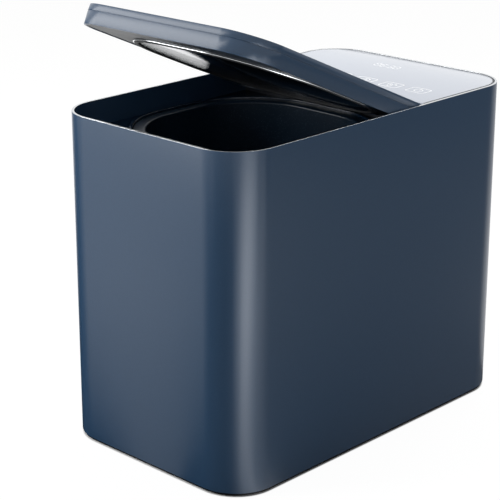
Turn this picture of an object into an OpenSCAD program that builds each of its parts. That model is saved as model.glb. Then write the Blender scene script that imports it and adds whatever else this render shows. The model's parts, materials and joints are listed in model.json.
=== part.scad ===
// Electric food waste composter: a floor-standing countertop box with a hinged lid at the
// front, a stirred bucket under it, a touch panel behind it and a pull-out carbon filter.
// Frame: +Z up, front face at -Y, origin at the middle of the footprint on the table.

/* [Body] */
// Width of the body
body_w = 198; // [190:1:210]
// Depth of the body, front to back
body_d = 330; // [322:1:340]
// Height of the rim above the table
body_h = 270; // [262:1:300]
// Radius of the four upright corners
corner_r = 36; // [28:1:42]
// Wall of the outer shell
shell_t = 2; // [1.6:0.1:2.6]
// Height of the dark base that shows under the shell
base_h = 3; // [2.5:0.1:5]
// Height of the rubber feet under the base
foot_h = 1; // [0.6:0.1:1.6]
// Radius of a rubber foot
foot_r = 12; // [8:0.5:16]

/* [Lid] */
// Height of the lid's side
lid_h = 16.2; // [14:0.1:20]
// Wall of the lid's cover
lid_t = 2; // [1.5:0.1:2.4]
// Gap between the lid and the shell's wall
lid_gap = 0.7; // [0.6:0.05:1]
// How far the lid's gasket hangs below the cover
gasket_h = 1.2; // [0.8:0.1:2]
// Width of the silver trim round the lid's gasket
trim_w = 1.2; // [0.8:0.1:2]
// Opening angle of the lid as it stands
lid_open = 23.9; // [0:0.1:60]
// Radius of the hinge's rounded edge
hinge_r = 3; // [2.6:0.1:3.6]
// Radius of a hinge pin
pin_r = 1.5; // [1:0.1:1.8]

/* [Panel] */
// Depth of the control panel, back to front
panel_d = 115; // [112:1:118]
// Thickness of the panel's glass
glass_t = 2; // [1.5:0.1:3]
// Seam between the lid's back edge and the panel
seam = 0.5; // [0.4:0.05:0.8]

/* [Bucket] */
// Space between the shell's sides and the chamber liner
side_gap = 11; // [8:0.5:14]
// Space between the shell's front and the chamber liner
front_gap = 33; // [26:1:36]
// Wall of the chamber liner
liner_t = 1.6; // [1.2:0.1:2.4]
// Air gap between the liner and the bucket
bucket_gap = 6; // [4:0.5:8]
// Wall of the bucket
bucket_t = 1.6; // [1.2:0.1:2.4]
// Radius of the bucket's upright corners
bucket_r = 60; // [45:1:68]
// Reach of the stirring arms
arm_r = 66; // [50:1:68]
// Thickness of the heater plate
heater_t = 8; // [6:0.5:10]
// Thickness of the insulation under the heater
felt_t = 8.4; // [6:0.2:10]

/* [Drive] */
// Tooth size of the first two gear stages (module)
fine_module = 1.25; // [1.24:0.01:1.27]
// Tooth size of the output stage (module)
coarse_module = 1.5; // [1.48:0.01:1.52]
// Face width of the first two stages
fine_w = 8; // [6:0.5:10]
// Face width of the output stage
coarse_w = 12; // [8:0.5:14]
// Radius of the drive motor
motor_r = 21; // [19:0.5:22]
// Length of the drive motor
motor_h = 66; // [50:1:72]
// Radius of the output shaft
shaft_r = 6; // [5:0.5:7]
// Radius of the bucket's own shaft
stirrer_r = 5; // [4:0.5:6]
// Radius of a gear axle
axle_r = 3; // [2:0.5:4]

/* [Filter] */
// Width and depth of the filter cartridge
cart_w = 68; // [64:1:69]
// Height of the filter cartridge
cart_h = 190; // [170:1:194]
// Sideways place of the filter cartridge
cart_x = -18; // [-19:0.5:-17]
// Thickness of the rear filter cover
door_t = 3; // [2.5:0.1:4]
// Depth of the finger recess in the rear cover
pull_d = 11; // [8:0.5:12]

/* [Hidden] */
$fn = 96;

// Clearances that every fit shares
slip = 0.3;      // between pieces that are fitted by hand
run = 0.05;      // radial, between a turning shaft and its bush
bite = 0.12;     // thinning of each tooth flank, for backlash

// The shell and what lines up with it
in_w = body_w / 2 - shell_t;             // half the inside width
in_d = body_d / 2 - shell_t;             // half the inside depth
lid_in = shell_t + lid_gap;              // the lid's edge, in from the shell's face
plate_z = foot_h;                        // underside of the base plate
frame_front = body_d / 2 - lid_in - panel_d;   // front edge of the panel
lid_back = frame_front - seam;           // back edge of the lid
hinge_y = lid_back - hinge_r;
hinge_z = body_h - hinge_r;
lid_low = body_h - lid_h;                // lower edge of the closed lid's cover
gasket_low = lid_low - gasket_h;         // underside of the closed lid's gasket
ledge_z = lid_low + 0.6;                 // underside of the lid's inner ledge
ledge_t = 2;
frame_z = lid_low + 2;                   // underside of the panel frame
divider_t = 2;
divider_back = frame_front + divider_t;

// The gear train's levels
tray_z = base_h + 5;
floor_t = 2.5;
level_gap = 1;
boss_h = 4;
level1 = tray_z + floor_t + boss_h + level_gap;
level2 = level1 + fine_w + level_gap;
level3 = level2 + fine_w + level_gap;
cover_z = level3 + coarse_w + 6;
cover_t = 3;
cover_top = cover_z + cover_t;

// The chamber, from the gearbox up
liner_z = cover_top + 3.5;
felt_z = liner_z + liner_t;
heater_z = felt_z + felt_t;
bucket_z = heater_z + heater_t;
lip_z = gasket_low - slip;               // the lid's gasket meets the lip here
deck_z = lip_z - 3;                      // top of the deck round the bucket
deck_t = 3;
liner_w = 2 * (in_w - side_gap);         // outside of the liner
liner_front = -in_d + front_gap;
liner_back = frame_front - 7;
liner_d = liner_back - liner_front;
bucket_y = (liner_front + liner_back) / 2;
wall_in = liner_t + bucket_gap;          // from the liner's face to the bucket's
bucket_w = liner_w - 2 * wall_in;
bucket_d = liner_d - 2 * wall_in;
flange_t = 1.6;
rim_lap = 2.5;                           // how far the bucket's flange lies on the deck
plug = bucket_gap + 0.5;                 // the lid's inner plate, out from the bucket's face
lip_in = bucket_gap + rim_lap + 0.5;     // the deck's lip, out from the bucket's face
hub_r = 13;
dog_r = 15;
dog_t = 4;
dog_lug = 5;
dog_z = cover_top + 1.5;                 // underside of the lower dog
upper_z = dog_z + dog_t + slip;          // underside of the upper dog's lugs
upper_disc = upper_z + dog_lug;
bush_z = upper_disc + dog_t + 0.7;
bush_r = stirrer_r + 4;
seal_h = 3;
boss_top = bucket_z + bucket_t + 10;     // top of the bucket's boss
seal_z = boss_top - seal_h;
agitator_z = boss_top + 2;
arm_t = 8;
arm_step = 12;
cutter_z = agitator_z + 2 * arm_step + 1;
cutter_t = 6;
top_arm_z = cutter_z + cutter_t + 4;
hub_top = top_arm_z + arm_t;

// The gears: teeth, centres and the angle that puts each in mesh with the next
pressure = 20;
wheel_teeth = 60;
pinion_teeth = 14;
tip = 0.85;
root = 1.15;
fine_c = fine_module * (wheel_teeth + pinion_teeth) / 2;
coarse_c = coarse_module * (wheel_teeth + pinion_teeth) / 2;
fine_tip = fine_module * (wheel_teeth / 2 + tip);
coarse_tip = coarse_module * (wheel_teeth / 2 + tip);
bay_clear = 7;                           // room beside the cartridge for its ears
bay_t = 1.6;
bay_half = cart_w / 2 + bay_clear;
motor_clear = 3.5;
motor_at = [cart_x + bay_half + bay_t + motor_r + 4, divider_back + motor_r + motor_clear];
output_at = [0, bucket_y];
// The second gear's centre and the motor's, so that the bends of the train share its slack
apart = norm(motor_at - output_at);
span = 2 * fine_c * apart / (coarse_c + 2 * fine_c);
swing = acos((coarse_c * coarse_c + apart * apart - span * span) / (2 * coarse_c * apart));
train_angle = bearing(output_at, motor_at) + swing;
second_at = output_at + coarse_c * [cos(train_angle), sin(train_angle)];
toward = (motor_at - second_at) / span;
bend = sqrt(fine_c * fine_c - span * span / 4);
first_at = (second_at + motor_at) / 2 + bend * [toward[1], -toward[0]];

// Direction from one centre to another
function bearing(from, to) = atan2(to[1] - from[1], to[0] - from[0]);
// Angle of a gear's first tooth that meshes with a neighbour whose first tooth is at phase
function mesh(from, to, phase, teeth_from, teeth_to) =
    bearing(from, to) + 180 - 180 / teeth_to
    - (phase - bearing(from, to)) * teeth_from / teeth_to;
second_pinion_phase = mesh(output_at, second_at, 0, wheel_teeth, pinion_teeth);
first_pinion_phase = mesh(second_at, first_at, 0, wheel_teeth, pinion_teeth);
motor_phase = mesh(first_at, motor_at, 0, wheel_teeth, pinion_teeth);

// The rear bay
cart_back = body_d / 2 - door_t - pull_d - 2;    // rear face of the cartridge
cart_front = cart_back - cart_w;
cart_y = (cart_back + cart_front) / 2;
tray_low = tray_z + 18;                  // underside of the drawer's carrier
carrier_t = 2;
cart_z = tray_low + carrier_t;
bay_z = tray_low - slip - 0.2;           // inside floor of the filter bay
bay_top = cart_z + cart_h + 2.5;
bay_front = cart_front - bay_clear;
bay_end = body_d / 2 - door_t - 0.5;
door_half = bay_half + bay_t + 1.4;
door_low = bay_z - bay_t - 2;
door_high = bay_top + bay_t + 2;
pull_w = 51;                             // finger recess in the cover
pull_h = 21;
pull_t = 1.5;
pull_z = door_high - 26;
vent_w = 56;                             // grille slots below it
vent_h = 2.6;
vent_step = 7;
vent_count = 12;
vent_z = door_low + 60;
cup_h = 24;
cap_h = 11;
cap_z = cart_z + cart_h - cap_h;
frame_low = cart_z + cup_h;
cart_t = 1.8;
window_low = frame_low + 6;
window_high = cap_z - 34;
ear_r = 6;

// The fan
fan_gap = 5.4;                           // room between the bay's wall and the fan
fan_side = 5;                            // room between the fan and the shell's side
fan_half = (in_w - fan_side - (cart_x + bay_half + bay_t + fan_gap)) / 2;
fan_t = 26;
fan_x = in_w - fan_half - fan_side;
fan_z = body_h - 80;
fan_y = cart_front + 10;                 // front face of the fan's housing
impeller_r = fan_half - 6;
duct_t = 1.5;
duct_h = 30;

// The boards and the mains side
board_t = 1.6;
board_w = 60;                            // power board
board_h = 80;
board_z = fan_z - fan_half - board_h - 17;
board_x = in_w - 9;
board_y = in_d - board_w - 18;
control_z = frame_z - 12;                // control board
display_w = 48;
display_d = 18;
display_x = -28;
sensor_y = hinge_y - 28;                 // lid magnet and reed switch
sensor_l = 18;
socket_x = 46;
socket_z = 42;
socket_w = 20;
socket_h = 27;
socket_d = 28;
switch_z = 84;
switch_w = 13;
switch_h = 19;
rocker_tilt = 8;
rocker_half = 6.6;                       // half the height of the rocker's face
rocker_face = 5.8;                       // from its pin to the fold across its middle

// Rounded rectangle of lines and arcs, centred
module rounded(w, d, r) {
    square([w - 2 * r, d], center = true);
    square([w, d - 2 * r], center = true);
    for (x = [-1, 1])
        for (y = [-1, 1])
            translate([x * (w / 2 - r), y * (d / 2 - r)]) circle(r = r);
}

// The body's outline, drawn in by a distance
module outline(inset) {
    rounded(body_w - 2 * inset, body_d - 2 * inset, corner_r - inset);
}

// The part of that outline in front of a line across the body
module front_outline(inset, back) {
    intersection() {
        outline(inset);
        translate([-body_w, -body_d]) square([2 * body_w, body_d + back]);
    }
}

// The part of that outline behind a line across the body
module back_outline(inset, front) {
    intersection() {
        outline(inset);
        translate([-body_w, front]) square([2 * body_w, body_d]);
    }
}

// The chamber's outline, grown outwards from the bucket's face
module chamber(grow) {
    translate([0, bucket_y])
        rounded(bucket_w + 2 * grow, bucket_d + 2 * grow, bucket_r + grow);
}

// Upright block between two heights
module slab(z0, z1) {
    translate([0, 0, z0]) linear_extrude(z1 - z0) children();
}

// Box between two corners
module block(low, high) {
    translate(low) cube(high - low);
}

// Upright rod, and its bore when drawn with a second radius
module rod(at, r, z0, z1) {
    translate([at[0], at[1], z0]) cylinder(r = r, h = z1 - z0);
}
module sleeve(at, r_out, r_in, z0, z1) {
    difference() {
        rod(at, r_out, z0, z1);
        rod(at, r_in, z0 - 1, z1 + 1);
    }
}

// Involute of the tooth flank, as an angle in degrees
function flank(base, r) = r <= base ? 0
    : sqrt(r * r / base / base - 1) * 180 / PI - acos(base / r);
function polar(r, a) = [r * cos(a), r * sin(a)];

// Spur gear outline with involute flanks; the first tooth points along +X
module gear(teeth, size) {
    pitch = size * teeth / 2;
    base = pitch * cos(pressure);
    low = size * (teeth / 2 - root);
    high = size * (teeth / 2 + tip);
    start = max(base, low);
    radii = concat(low < base ? [low] : [], [for (k = [0 : 3]) start + (high - start) * k / 3]);
    thin = bite / pitch * 180 / PI;
    at_pitch = flank(base, pitch);
    half = [for (r = radii) 90 / teeth - thin + at_pitch - flank(base, r)];
    last = len(radii) - 1;
    polygon([for (i = [0 : teeth - 1])
        for (k = [0 : 2 * last + 1])
            k <= last ? polar(radii[k], i * 360 / teeth - half[k])
                : polar(radii[2 * last + 1 - k], i * 360 / teeth + half[2 * last + 1 - k])]);
}

// Wheel and pinion in one piece, running on a fixed axle
module compound(at, size, wheel_z, pinion_size, pinion_phase, pinion_top) {
    translate([at[0], at[1], 0]) difference() {
        union() {
            slab(wheel_z, wheel_z + fine_w) gear(wheel_teeth, size);
            slab(wheel_z + fine_w, pinion_top) rotate(pinion_phase)
                gear(pinion_teeth, pinion_size);
        }
        rod([0, 0], axle_r + run, wheel_z - 1, pinion_top + 1);
        for (a = [0 : 60 : 300])
            rotate(a) rod([wheel_teeth * size / 3.2, 0], size * 6, wheel_z - 1,
                wheel_z + fine_w + 1);
    }
}

// What the lid carries turns about the hinge to where it stands
module lid_pose() {
    translate([0, hinge_y, hinge_z]) rotate([-lid_open, 0, 0])
        translate([0, -hinge_y, -hinge_z]) children();
}

// ---- Case ----
screw_at = [for (x = [-1, 1]) for (y = [-1, 1]) [x * (in_w - 5), y * (body_d / 2 - corner_r - 8)]];

module outer_shell() color("#24476a") {
    difference() {
        slab(base_h, body_h) difference() {
            outline(0);
            outline(shell_t);
        }
        block([cart_x - door_half - slip, in_d - 1, door_low - slip],
            [cart_x + door_half + slip, body_d, door_high + slip]);
        block([socket_x - socket_w / 2, in_d - 1, socket_z - socket_h / 2],
            [socket_x + socket_w / 2, body_d, socket_z + socket_h / 2]);
        block([socket_x - switch_w / 2, in_d - 1, switch_z - switch_h / 2],
            [socket_x + switch_w / 2, body_d, switch_z + switch_h / 2]);
    }
    for (p = screw_at)
        difference() {
            union() {
                rod(p, 5, base_h, base_h + 20);
                block([min(p[0], sign(p[0]) * (in_w + 0.5)), p[1] - 2, base_h],
                    [max(p[0], sign(p[0]) * (in_w + 0.5)), p[1] + 2, base_h + 20]);
            }
            rod(p, 1.6, base_h - 1, base_h + 16);
        }
}

module base_plate() color("#16181b") difference() {
    union() {
        slab(plate_z, base_h) outline(1.2);
        for (p = [output_at, second_at, first_at, motor_at])
            rod(p, 8, base_h, tray_z);
        for (p = [[-1, -1], [1, -1]])
            rod([p[0] * (bucket_w / 2 - 14), bucket_y + p[1] * (bucket_d / 2 - 22)],
                5, base_h, liner_z);
        rod([-bucket_w / 2 + 14, bucket_y + bucket_d / 2 - 22], 5, base_h, liner_z);
    }
    for (p = screw_at) {
        rod(p, 1.9, plate_z - 1, base_h + 1);
        rod(p, 4, plate_z - 1, plate_z + 1.2);
    }
    for (p = foot_at) rod(p, 4, plate_z - 1, base_h + 1);
    for (i = [0 : 6])
        block([-16, body_d / 2 - 30 - i * 8, plate_z - 1],
            [16, body_d / 2 - 27 - i * 8, base_h + 1]);
}

foot_at = [for (x = [-1, 1]) for (y = [-1, 1]) [x * (body_w / 2 - 36), y * (body_d / 2 - 30)]];

module rubber_feet() color("#1c1d1f")
    for (p = foot_at) {
        rod(p, foot_r, 0, plate_z);
        rod(p, 4, plate_z, base_h);
    }

module case_screws() color("#8c9094")
    for (p = screw_at) {
        rod(p, 1.6, plate_z + 0.2, base_h + 14);
        rod(p, 3.5, plate_z + 0.2, plate_z + 1.2);
    }

// ---- Chamber ----
port_w = 30;
port_z = fan_z;

module chamber_liner() color("#15171a") difference() {
    union() {
        slab(deck_z - deck_t, deck_z) difference() {
            front_outline(shell_t + 0.2, frame_front);
            chamber(bucket_gap);
        }
        slab(deck_z, lip_z) difference() {
            chamber(lip_in + 2.5);
            chamber(lip_in);
        }
        slab(liner_z, deck_z - deck_t) difference() {
            chamber(wall_in);
            chamber(bucket_gap);
        }
        slab(liner_z, felt_z) difference() {
            chamber(wall_in);
            translate(output_at) circle(r = dog_r + 5);
        }
    }
    block([-port_w / 2, liner_back - 6, port_z - duct_h / 2 + duct_t],
        [port_w / 2, liner_back + 6, port_z + duct_h / 2 - duct_t]);
}

module bucket() color("#2c2e31") difference() {
    union() {
        slab(bucket_z, deck_z + flange_t) difference() {
            chamber(0);
            chamber(-bucket_t);
        }
        slab(bucket_z, bucket_z + bucket_t) chamber(0);
        slab(deck_z, deck_z + flange_t) difference() {
            chamber(bucket_gap + rim_lap);
            chamber(-bucket_t);
        }
        rod(output_at, bush_r + 3, bucket_z, boss_top);
    }
    rod(output_at, bush_r, bucket_z - 1, boss_top + 1);
}

module bucket_bush() color("#b08d4a") sleeve(output_at, bush_r, stirrer_r + run, bush_z, seal_z);

module bucket_seal() color("#3a3c3f") sleeve(output_at, bush_r, stirrer_r + run, seal_z, boss_top);

// Two bars on the bucket's side walls that the arms pass between
module fixed_cutters() color("#9a9da1")
    for (side = [-1, 1])
        translate([0, bucket_y, cutter_z]) rotate(side > 0 ? 0 : 180)
            linear_extrude(cutter_t)
                polygon([[bucket_w / 2 - bucket_t, -9], [bucket_w / 2 - bucket_t, 9],
                    [hub_r + 22, 3], [hub_r + 18, 0], [hub_r + 22, -3]]);

module heater_plate() color("#a7a9ab") difference() {
    slab(heater_z, bucket_z) chamber(-4);
    rod(output_at, dog_r + 5, heater_z - 1, bucket_z + 1);
}

module insulation_pad() color("#d8d2bf") difference() {
    slab(felt_z, heater_z) chamber(bucket_gap - 1);
    rod(output_at, dog_r + 5, felt_z - 1, heater_z + 1);
    rod([-bucket_w / 4, bucket_y], 9, heater_z - 6, heater_z + 1);
}

module thermostat() color("#c9c4b8") rod([-bucket_w / 4, bucket_y], 8.5, heater_z - 6, heater_z);

// ---- Gearbox ----
module train_outline(grow, motor_pad) {
    translate(output_at) circle(r = coarse_tip + grow);
    translate(second_at) circle(r = fine_tip + grow);
    translate(first_at) circle(r = fine_tip + grow);
    translate(motor_at) circle(r = motor_pad + grow);
}

screw_pads = [output_at + [-coarse_tip - 5.5, 0], output_at + [coarse_tip + 5.5, 0],
    output_at + [0, -coarse_tip - 5.5], second_at + [-fine_tip - 5.5, 0],
    motor_at + [0, motor_r + 7.5]];

module tray_pads(z0, z1) {
    for (p = screw_pads) rod(p, 4.5, z0, z1);
    block([motor_at[0] - 4, motor_at[1], z0], [motor_at[0] + 4, motor_at[1] + motor_r + 6, z1]);
}

module gearbox_tray() color("#3c4046") difference() {
    union() {
        difference() {
            slab(tray_z, cover_z) train_outline(4, 12);
            slab(tray_z + floor_t, cover_z + 1) train_outline(2, 10);
        }
        difference() {
            tray_pads(tray_z, cover_z);
            slab(tray_z + floor_t, cover_z + 1) train_outline(2, 10);
        }
        for (p = [second_at, first_at])
            sleeve(p, axle_r + 3, axle_r, tray_z + floor_t, tray_z + floor_t + boss_h);
        sleeve(output_at, shaft_r + 6, shaft_r + 3, tray_z + floor_t, tray_z + floor_t + 8);
    }
    for (p = screw_pads) rod(p, 1.5, cover_z - 12, cover_z + 1);
}

module gearbox_cover() color("#484c52") difference() {
    union() {
        slab(cover_z, cover_top) train_outline(4, motor_r - 1);
        tray_pads(cover_z, cover_top);
        rod(output_at, shaft_r + 6, level3 + coarse_w + 1, cover_z);
    }
    rod(output_at, shaft_r + 3, level3 + coarse_w, cover_top + 1);
    rod(motor_at, axle_r + 4, cover_z - 1, cover_top + 1);
    for (p = screw_pads) rod(p, 1.8, cover_z - 1, cover_top + 1);
}

module gearbox_screws() color("#8c9094")
    for (p = screw_pads) {
        rod(p, 1.5, cover_z - 10, cover_top);
        rod(p, 3, cover_top, cover_top + 1.8);
    }

module output_bushes() color("#b08d4a") {
    sleeve(output_at, shaft_r + 3, shaft_r + run, tray_z + floor_t, tray_z + floor_t + 8);
    sleeve(output_at, shaft_r + 3, shaft_r + run, level3 + coarse_w + 1, cover_top);
}

module gear_axles() color("#b5b8bb")
    for (p = [second_at, first_at]) rod(p, axle_r, tray_z + floor_t, cover_z);

module motor_can() color("#8f9398") difference() {
    union() {
        rod(motor_at, motor_r, cover_top, cover_top + motor_h);
        rod(motor_at, 8, cover_top + motor_h, cover_top + motor_h + 5);
    }
    rod(motor_at, axle_r + run, cover_top - 1, cover_top + 40);
    for (a = [45 : 90 : 315])
        translate([motor_at[0] + motor_r * cos(a), motor_at[1] + motor_r * sin(a), cover_top + 30])
            rotate(a) cube([2, 7, 36], center = true);
}

module output_shaft() color("#b5b8bb") rod(output_at, shaft_r, tray_z + floor_t + 0.5, dog_z + dog_t);

module output_gear() color("#c8c3b4") translate([output_at[0], output_at[1], 0]) difference() {
    slab(level3, level3 + coarse_w) gear(wheel_teeth, coarse_module);
    rod([0, 0], shaft_r, level3 - 1, level3 + coarse_w + 1);
    for (a = [0 : 60 : 300])
        rotate(a) rod([coarse_module * wheel_teeth / 3.4, 0], 8, level3 - 1, level3 + coarse_w + 1);
}

module second_gear() color("#d5d0c0")
    compound(second_at, fine_module, level2, coarse_module, second_pinion_phase,
        level3 + coarse_w + 0.5);

module first_gear() color("#d5d0c0")
    compound(first_at, fine_module, level1, fine_module, first_pinion_phase,
        level2 + fine_w + 0.5);

module motor_shaft() color("#b5b8bb") rod(motor_at, axle_r, level1 - 1, cover_top + 38);

module motor_pinion() color("#b08d4a") translate([motor_at[0], motor_at[1], 0]) difference() {
    slab(level1, level1 + fine_w + 4) rotate(motor_phase) gear(pinion_teeth, fine_module);
    rod([0, 0], axle_r, level1 - 1, level1 + fine_w + 5);
}

// Three lugs of one half of the dog clutch
module lugs(turn, z0, z1) {
    slab(z0, z1) intersection() {
        difference() {
            circle(r = dog_r);
            circle(r = shaft_r + 1);
        }
        for (a = [0 : 120 : 240])
            rotate(a + turn) polygon([[0, 0], polar(40, -27), polar(40, 27)]);
    }
}

module lower_dog() color("#8f9398") translate([output_at[0], output_at[1], 0]) {
    sleeve([0, 0], dog_r, shaft_r, dog_z, dog_z + dog_t);
    lugs(0, dog_z + dog_t, dog_z + dog_t + dog_lug);
}

module upper_dog() color("#9a9ea3") translate([output_at[0], output_at[1], 0]) {
    sleeve([0, 0], dog_r, stirrer_r, upper_disc, upper_disc + dog_t);
    lugs(60, upper_z, upper_disc);
}

module bucket_shaft() color("#b5b8bb") rod(output_at, stirrer_r, upper_disc, hub_top);

// A curved arm: half a ring from the hub to the reach
module arm() {
    mid = arm_r / 2;
    intersection() {
        translate([mid, 0]) difference() {
            circle(r = mid);
            circle(r = mid - 11);
        }
        translate([-mid, 0]) square([3 * arm_r, arm_r]);
    }
}

module agitator() color("#5b5e62") translate([output_at[0], output_at[1], 0]) difference() {
    union() {
        rod([0, 0], hub_r, agitator_z, hub_top);
        slab(agitator_z, agitator_z + arm_t) {
            arm();
            rotate(180) arm();
        }
        slab(agitator_z + arm_step, agitator_z + arm_step + arm_t) {
            rotate(90) arm();
            rotate(270) arm();
        }
        slab(top_arm_z, hub_top) {
            rotate(45) arm();
            rotate(225) arm();
        }
    }
    rod([0, 0], stirrer_r, agitator_z - 1, hub_top + 1);
}

module agitator_nut() color("#a7a9ab") translate([output_at[0], output_at[1], hub_top])
    cylinder(r = hub_r - 3, h = 6, $fn = 6);

// ---- Rear bay ----
module bay_divider() color("#2a2d31") difference() {
    union() {
        block([-in_w + 0.2, frame_front, liner_z], [in_w - 0.2, divider_back, frame_z]);
        block([-in_w + 0.2, frame_front, base_h], [second_at[0] - fine_tip - 6, divider_back, liner_z]);
    }
    block([-port_w / 2, frame_front - 1, port_z - duct_h / 2 + duct_t],
        [port_w / 2, divider_back + 1, port_z + duct_h / 2 - duct_t]);
}

module filter_bay() color("#2f3236") difference() {
    block([cart_x - bay_half - bay_t, bay_front - bay_t, bay_z - bay_t],
        [cart_x + bay_half + bay_t, bay_end, bay_top + bay_t]);
    block([cart_x - bay_half, bay_front, bay_z], [cart_x + bay_half, body_d, bay_top]);
    block([cart_x, fan_y + 5, fan_z - fan_half + 3], [body_w, fan_y + fan_t - 5, fan_z - fan_half + 21]);
}

module air_duct() color("#3c4046") difference() {
    block([-port_w / 2 - duct_t, divider_back, fan_z - duct_h / 2],
        [fan_x + 20, fan_y, fan_z + duct_h / 2]);
    block([-port_w / 2, divider_back + duct_t, fan_z - duct_h / 2 + duct_t],
        [fan_x + 20 - duct_t, min(fan_y, bay_front - bay_t - 1) - duct_t, fan_z + duct_h / 2 - duct_t]);
    block([cart_x + bay_half + bay_t + 2, divider_back + duct_t, fan_z - duct_h / 2 + duct_t],
        [fan_x + 20 - duct_t, fan_y - duct_t, fan_z + duct_h / 2 - duct_t]);
    block([-body_w, bay_front - bay_t - 1, fan_z - duct_h],
        [cart_x + bay_half + bay_t + 2 - duct_t, body_d, fan_z + duct_h]);
    block([-port_w / 2, divider_back - 1, port_z - duct_h / 2 + duct_t],
        [port_w / 2, divider_back + 3, port_z + duct_h / 2 - duct_t]);
    translate([fan_x, fan_y + 1, fan_z]) rotate([90, 0, 0]) cylinder(r = 12.5, h = duct_t + 3);
}

module fan_housing() color("#24262a") difference() {
    union() {
        block([fan_x - fan_half, fan_y, fan_z - fan_half], [fan_x + fan_half, fan_y + fan_t,
            fan_z + fan_half]);
        block([cart_x + bay_half + bay_t, fan_y + 5, fan_z - fan_half + 3],
            [fan_x, fan_y + fan_t - 5, fan_z - fan_half + 21]);
    }
    translate([fan_x, fan_y + fan_t - 2, fan_z]) rotate([90, 0, 0])
        cylinder(r = impeller_r + 3, h = fan_t - 4);
    translate([fan_x, fan_y + 3, fan_z]) rotate([90, 0, 0]) cylinder(r = 16, h = 5);
    block([cart_x, fan_y + 7, fan_z - fan_half + 5], [fan_x, fan_y + fan_t - 7,
        fan_z - fan_half + 19]);
}

module fan_motor() color("#6c7076") translate([fan_x, fan_y + fan_t - 2, fan_z]) rotate([90, 0, 0])
    difference() {
        cylinder(r = 9, h = 7);
        translate([0, 0, 2]) cylinder(r = 2 + run, h = 10);
    }

module fan_impeller() color("#1d1f22") translate([fan_x, fan_y + 4, fan_z]) rotate([-90, 0, 0]) {
    cylinder(r = 2, h = fan_t - 8.5);
    difference() {
        union() {
            translate([0, 0, 11]) cylinder(r = impeller_r, h = 1.5);
            cylinder(r = 8, h = 12);
        }
        translate([0, 0, -1]) cylinder(r = 2, h = 20);
    }
    for (a = [0 : 24 : 336])
        rotate(a) translate([impeller_r - 8, -0.6, 0]) rotate(35) cube([7, 1.2, 11.5]);
}

// ---- Panel ----
module panel_frame() color("#1a1c1f") {
    slab(frame_z, body_h - glass_t) difference() {
        back_outline(shell_t + 0.2, frame_front);
        back_outline(shell_t + 2.7, frame_front + 2.5);
    }
    slab(body_h - glass_t - 2, body_h - glass_t) difference() {
        back_outline(shell_t + 2.5, frame_front + 2);
        back_outline(shell_t + 14, frame_front + 12);
    }
}

module control_panel() color("#d9dde4")
    slab(body_h - glass_t, body_h) back_outline(lid_in, frame_front);

module touch_board() color("#1f4d36")
    slab(body_h - glass_t - 2 - board_t, body_h - glass_t - 2)
        back_outline(shell_t + 12, frame_front + 10);

display_y = body_d / 2 - 32;
module display_module() color("#e8eaec")
    block([display_x, display_y - display_d / 2, body_h - glass_t - 2],
        [display_x + display_w, display_y + display_d / 2, body_h - glass_t]);

module control_board() color("#1f4d36") {
    top = control_z + board_t;
    block([cart_x + bay_half + 8, divider_back + 8, control_z], [in_w - 6, in_d - 20, top]);
    block([cart_x + bay_half + 14, divider_back + 16, top],
        [cart_x + bay_half + 30, divider_back + 32, top + 3]);
    for (i = [0 : 3])
        block([in_w - 26, divider_back + 16 + i * 14, top],
            [in_w - 14, divider_back + 24 + i * 14, top + 8]);
}

module power_board() color("#2b5d3f") {
    block([board_x, board_y, board_z], [board_x + board_t, board_y + board_w, board_z + board_h]);
    block([board_x - 14, board_y + 6, board_z + 8], [board_x, board_y + 26, board_z + 34]);
    block([board_x - 10, board_y + board_w - 26, board_z + board_h - 30],
        [board_x, board_y + board_w - 6, board_z + board_h - 18]);
    for (i = [0 : 1])
        translate([board_x, board_y + 16 + i * 14, board_z + board_h - 26]) rotate([0, -90, 0])
            cylinder(r = 5, h = 13);
}

module inlet_socket() color("#17181a") difference() {
    union() {
        block([socket_x - socket_w / 2 + 0.2, body_d / 2 - socket_d, socket_z - socket_h / 2 + 0.2],
            [socket_x + socket_w / 2 - 0.2, body_d / 2, socket_z + socket_h / 2 - 0.2]);
        block([socket_x - socket_w / 2 - 1.6, body_d / 2, socket_z - socket_h / 2 - 2],
            [socket_x + socket_w / 2 + 1.6, body_d / 2 + 1.2, socket_z + socket_h / 2 + 2]);
    }
    difference() {
        block([socket_x - socket_w / 2 + 2.4, body_d / 2 - 16, socket_z - socket_h / 2 + 2],
            [socket_x + socket_w / 2 - 2.4, body_d / 2 + 2, socket_z + socket_h / 2 - 2]);
        for (p = [[0, 7], [0, -7], [3.5, 0]])
            block([socket_x + p[0] - 1, body_d / 2 - 17, socket_z + p[1] - 2],
                [socket_x + p[0] + 1, body_d / 2 - 5, socket_z + p[1] + 2]);
    }
}

module switch_bezel() color("#17181a") difference() {
    union() {
        block([socket_x - switch_w / 2 + 0.2, body_d / 2 - 18, switch_z - switch_h / 2 + 0.2],
            [socket_x + switch_w / 2 - 0.2, body_d / 2, switch_z + switch_h / 2 - 0.2]);
        block([socket_x - switch_w / 2 - 1.4, body_d / 2, switch_z - switch_h / 2 - 1.6],
            [socket_x + switch_w / 2 + 1.4, body_d / 2 + 1.2, switch_z + switch_h / 2 + 1.6]);
    }
    block([socket_x - switch_w / 2 + 1.6, body_d / 2 - 14, switch_z - switch_h / 2 + 1.4],
        [socket_x + switch_w / 2 - 1.6, body_d / 2 + 2, switch_z + switch_h / 2 - 1.4]);
}

// A rocker that tips about its own pin, standing at its off side. Its face is folded across
// the middle, so that one half lies level with the wall while the other stands out
rocker_tip = rocker_face + rocker_half * tan(rocker_tilt);
module power_rocker() color("#2a2c2f")
    translate([socket_x, body_d / 2 - 6.5, switch_z]) rotate([0, 90, 0]) rotate(90)
        linear_extrude(switch_w - 4, center = true)
            rotate(-rocker_tilt) polygon([[-4, -rocker_half], [rocker_tip, -rocker_half],
                [rocker_face, 0], [rocker_tip, rocker_half], [-4, rocker_half]]);

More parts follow.
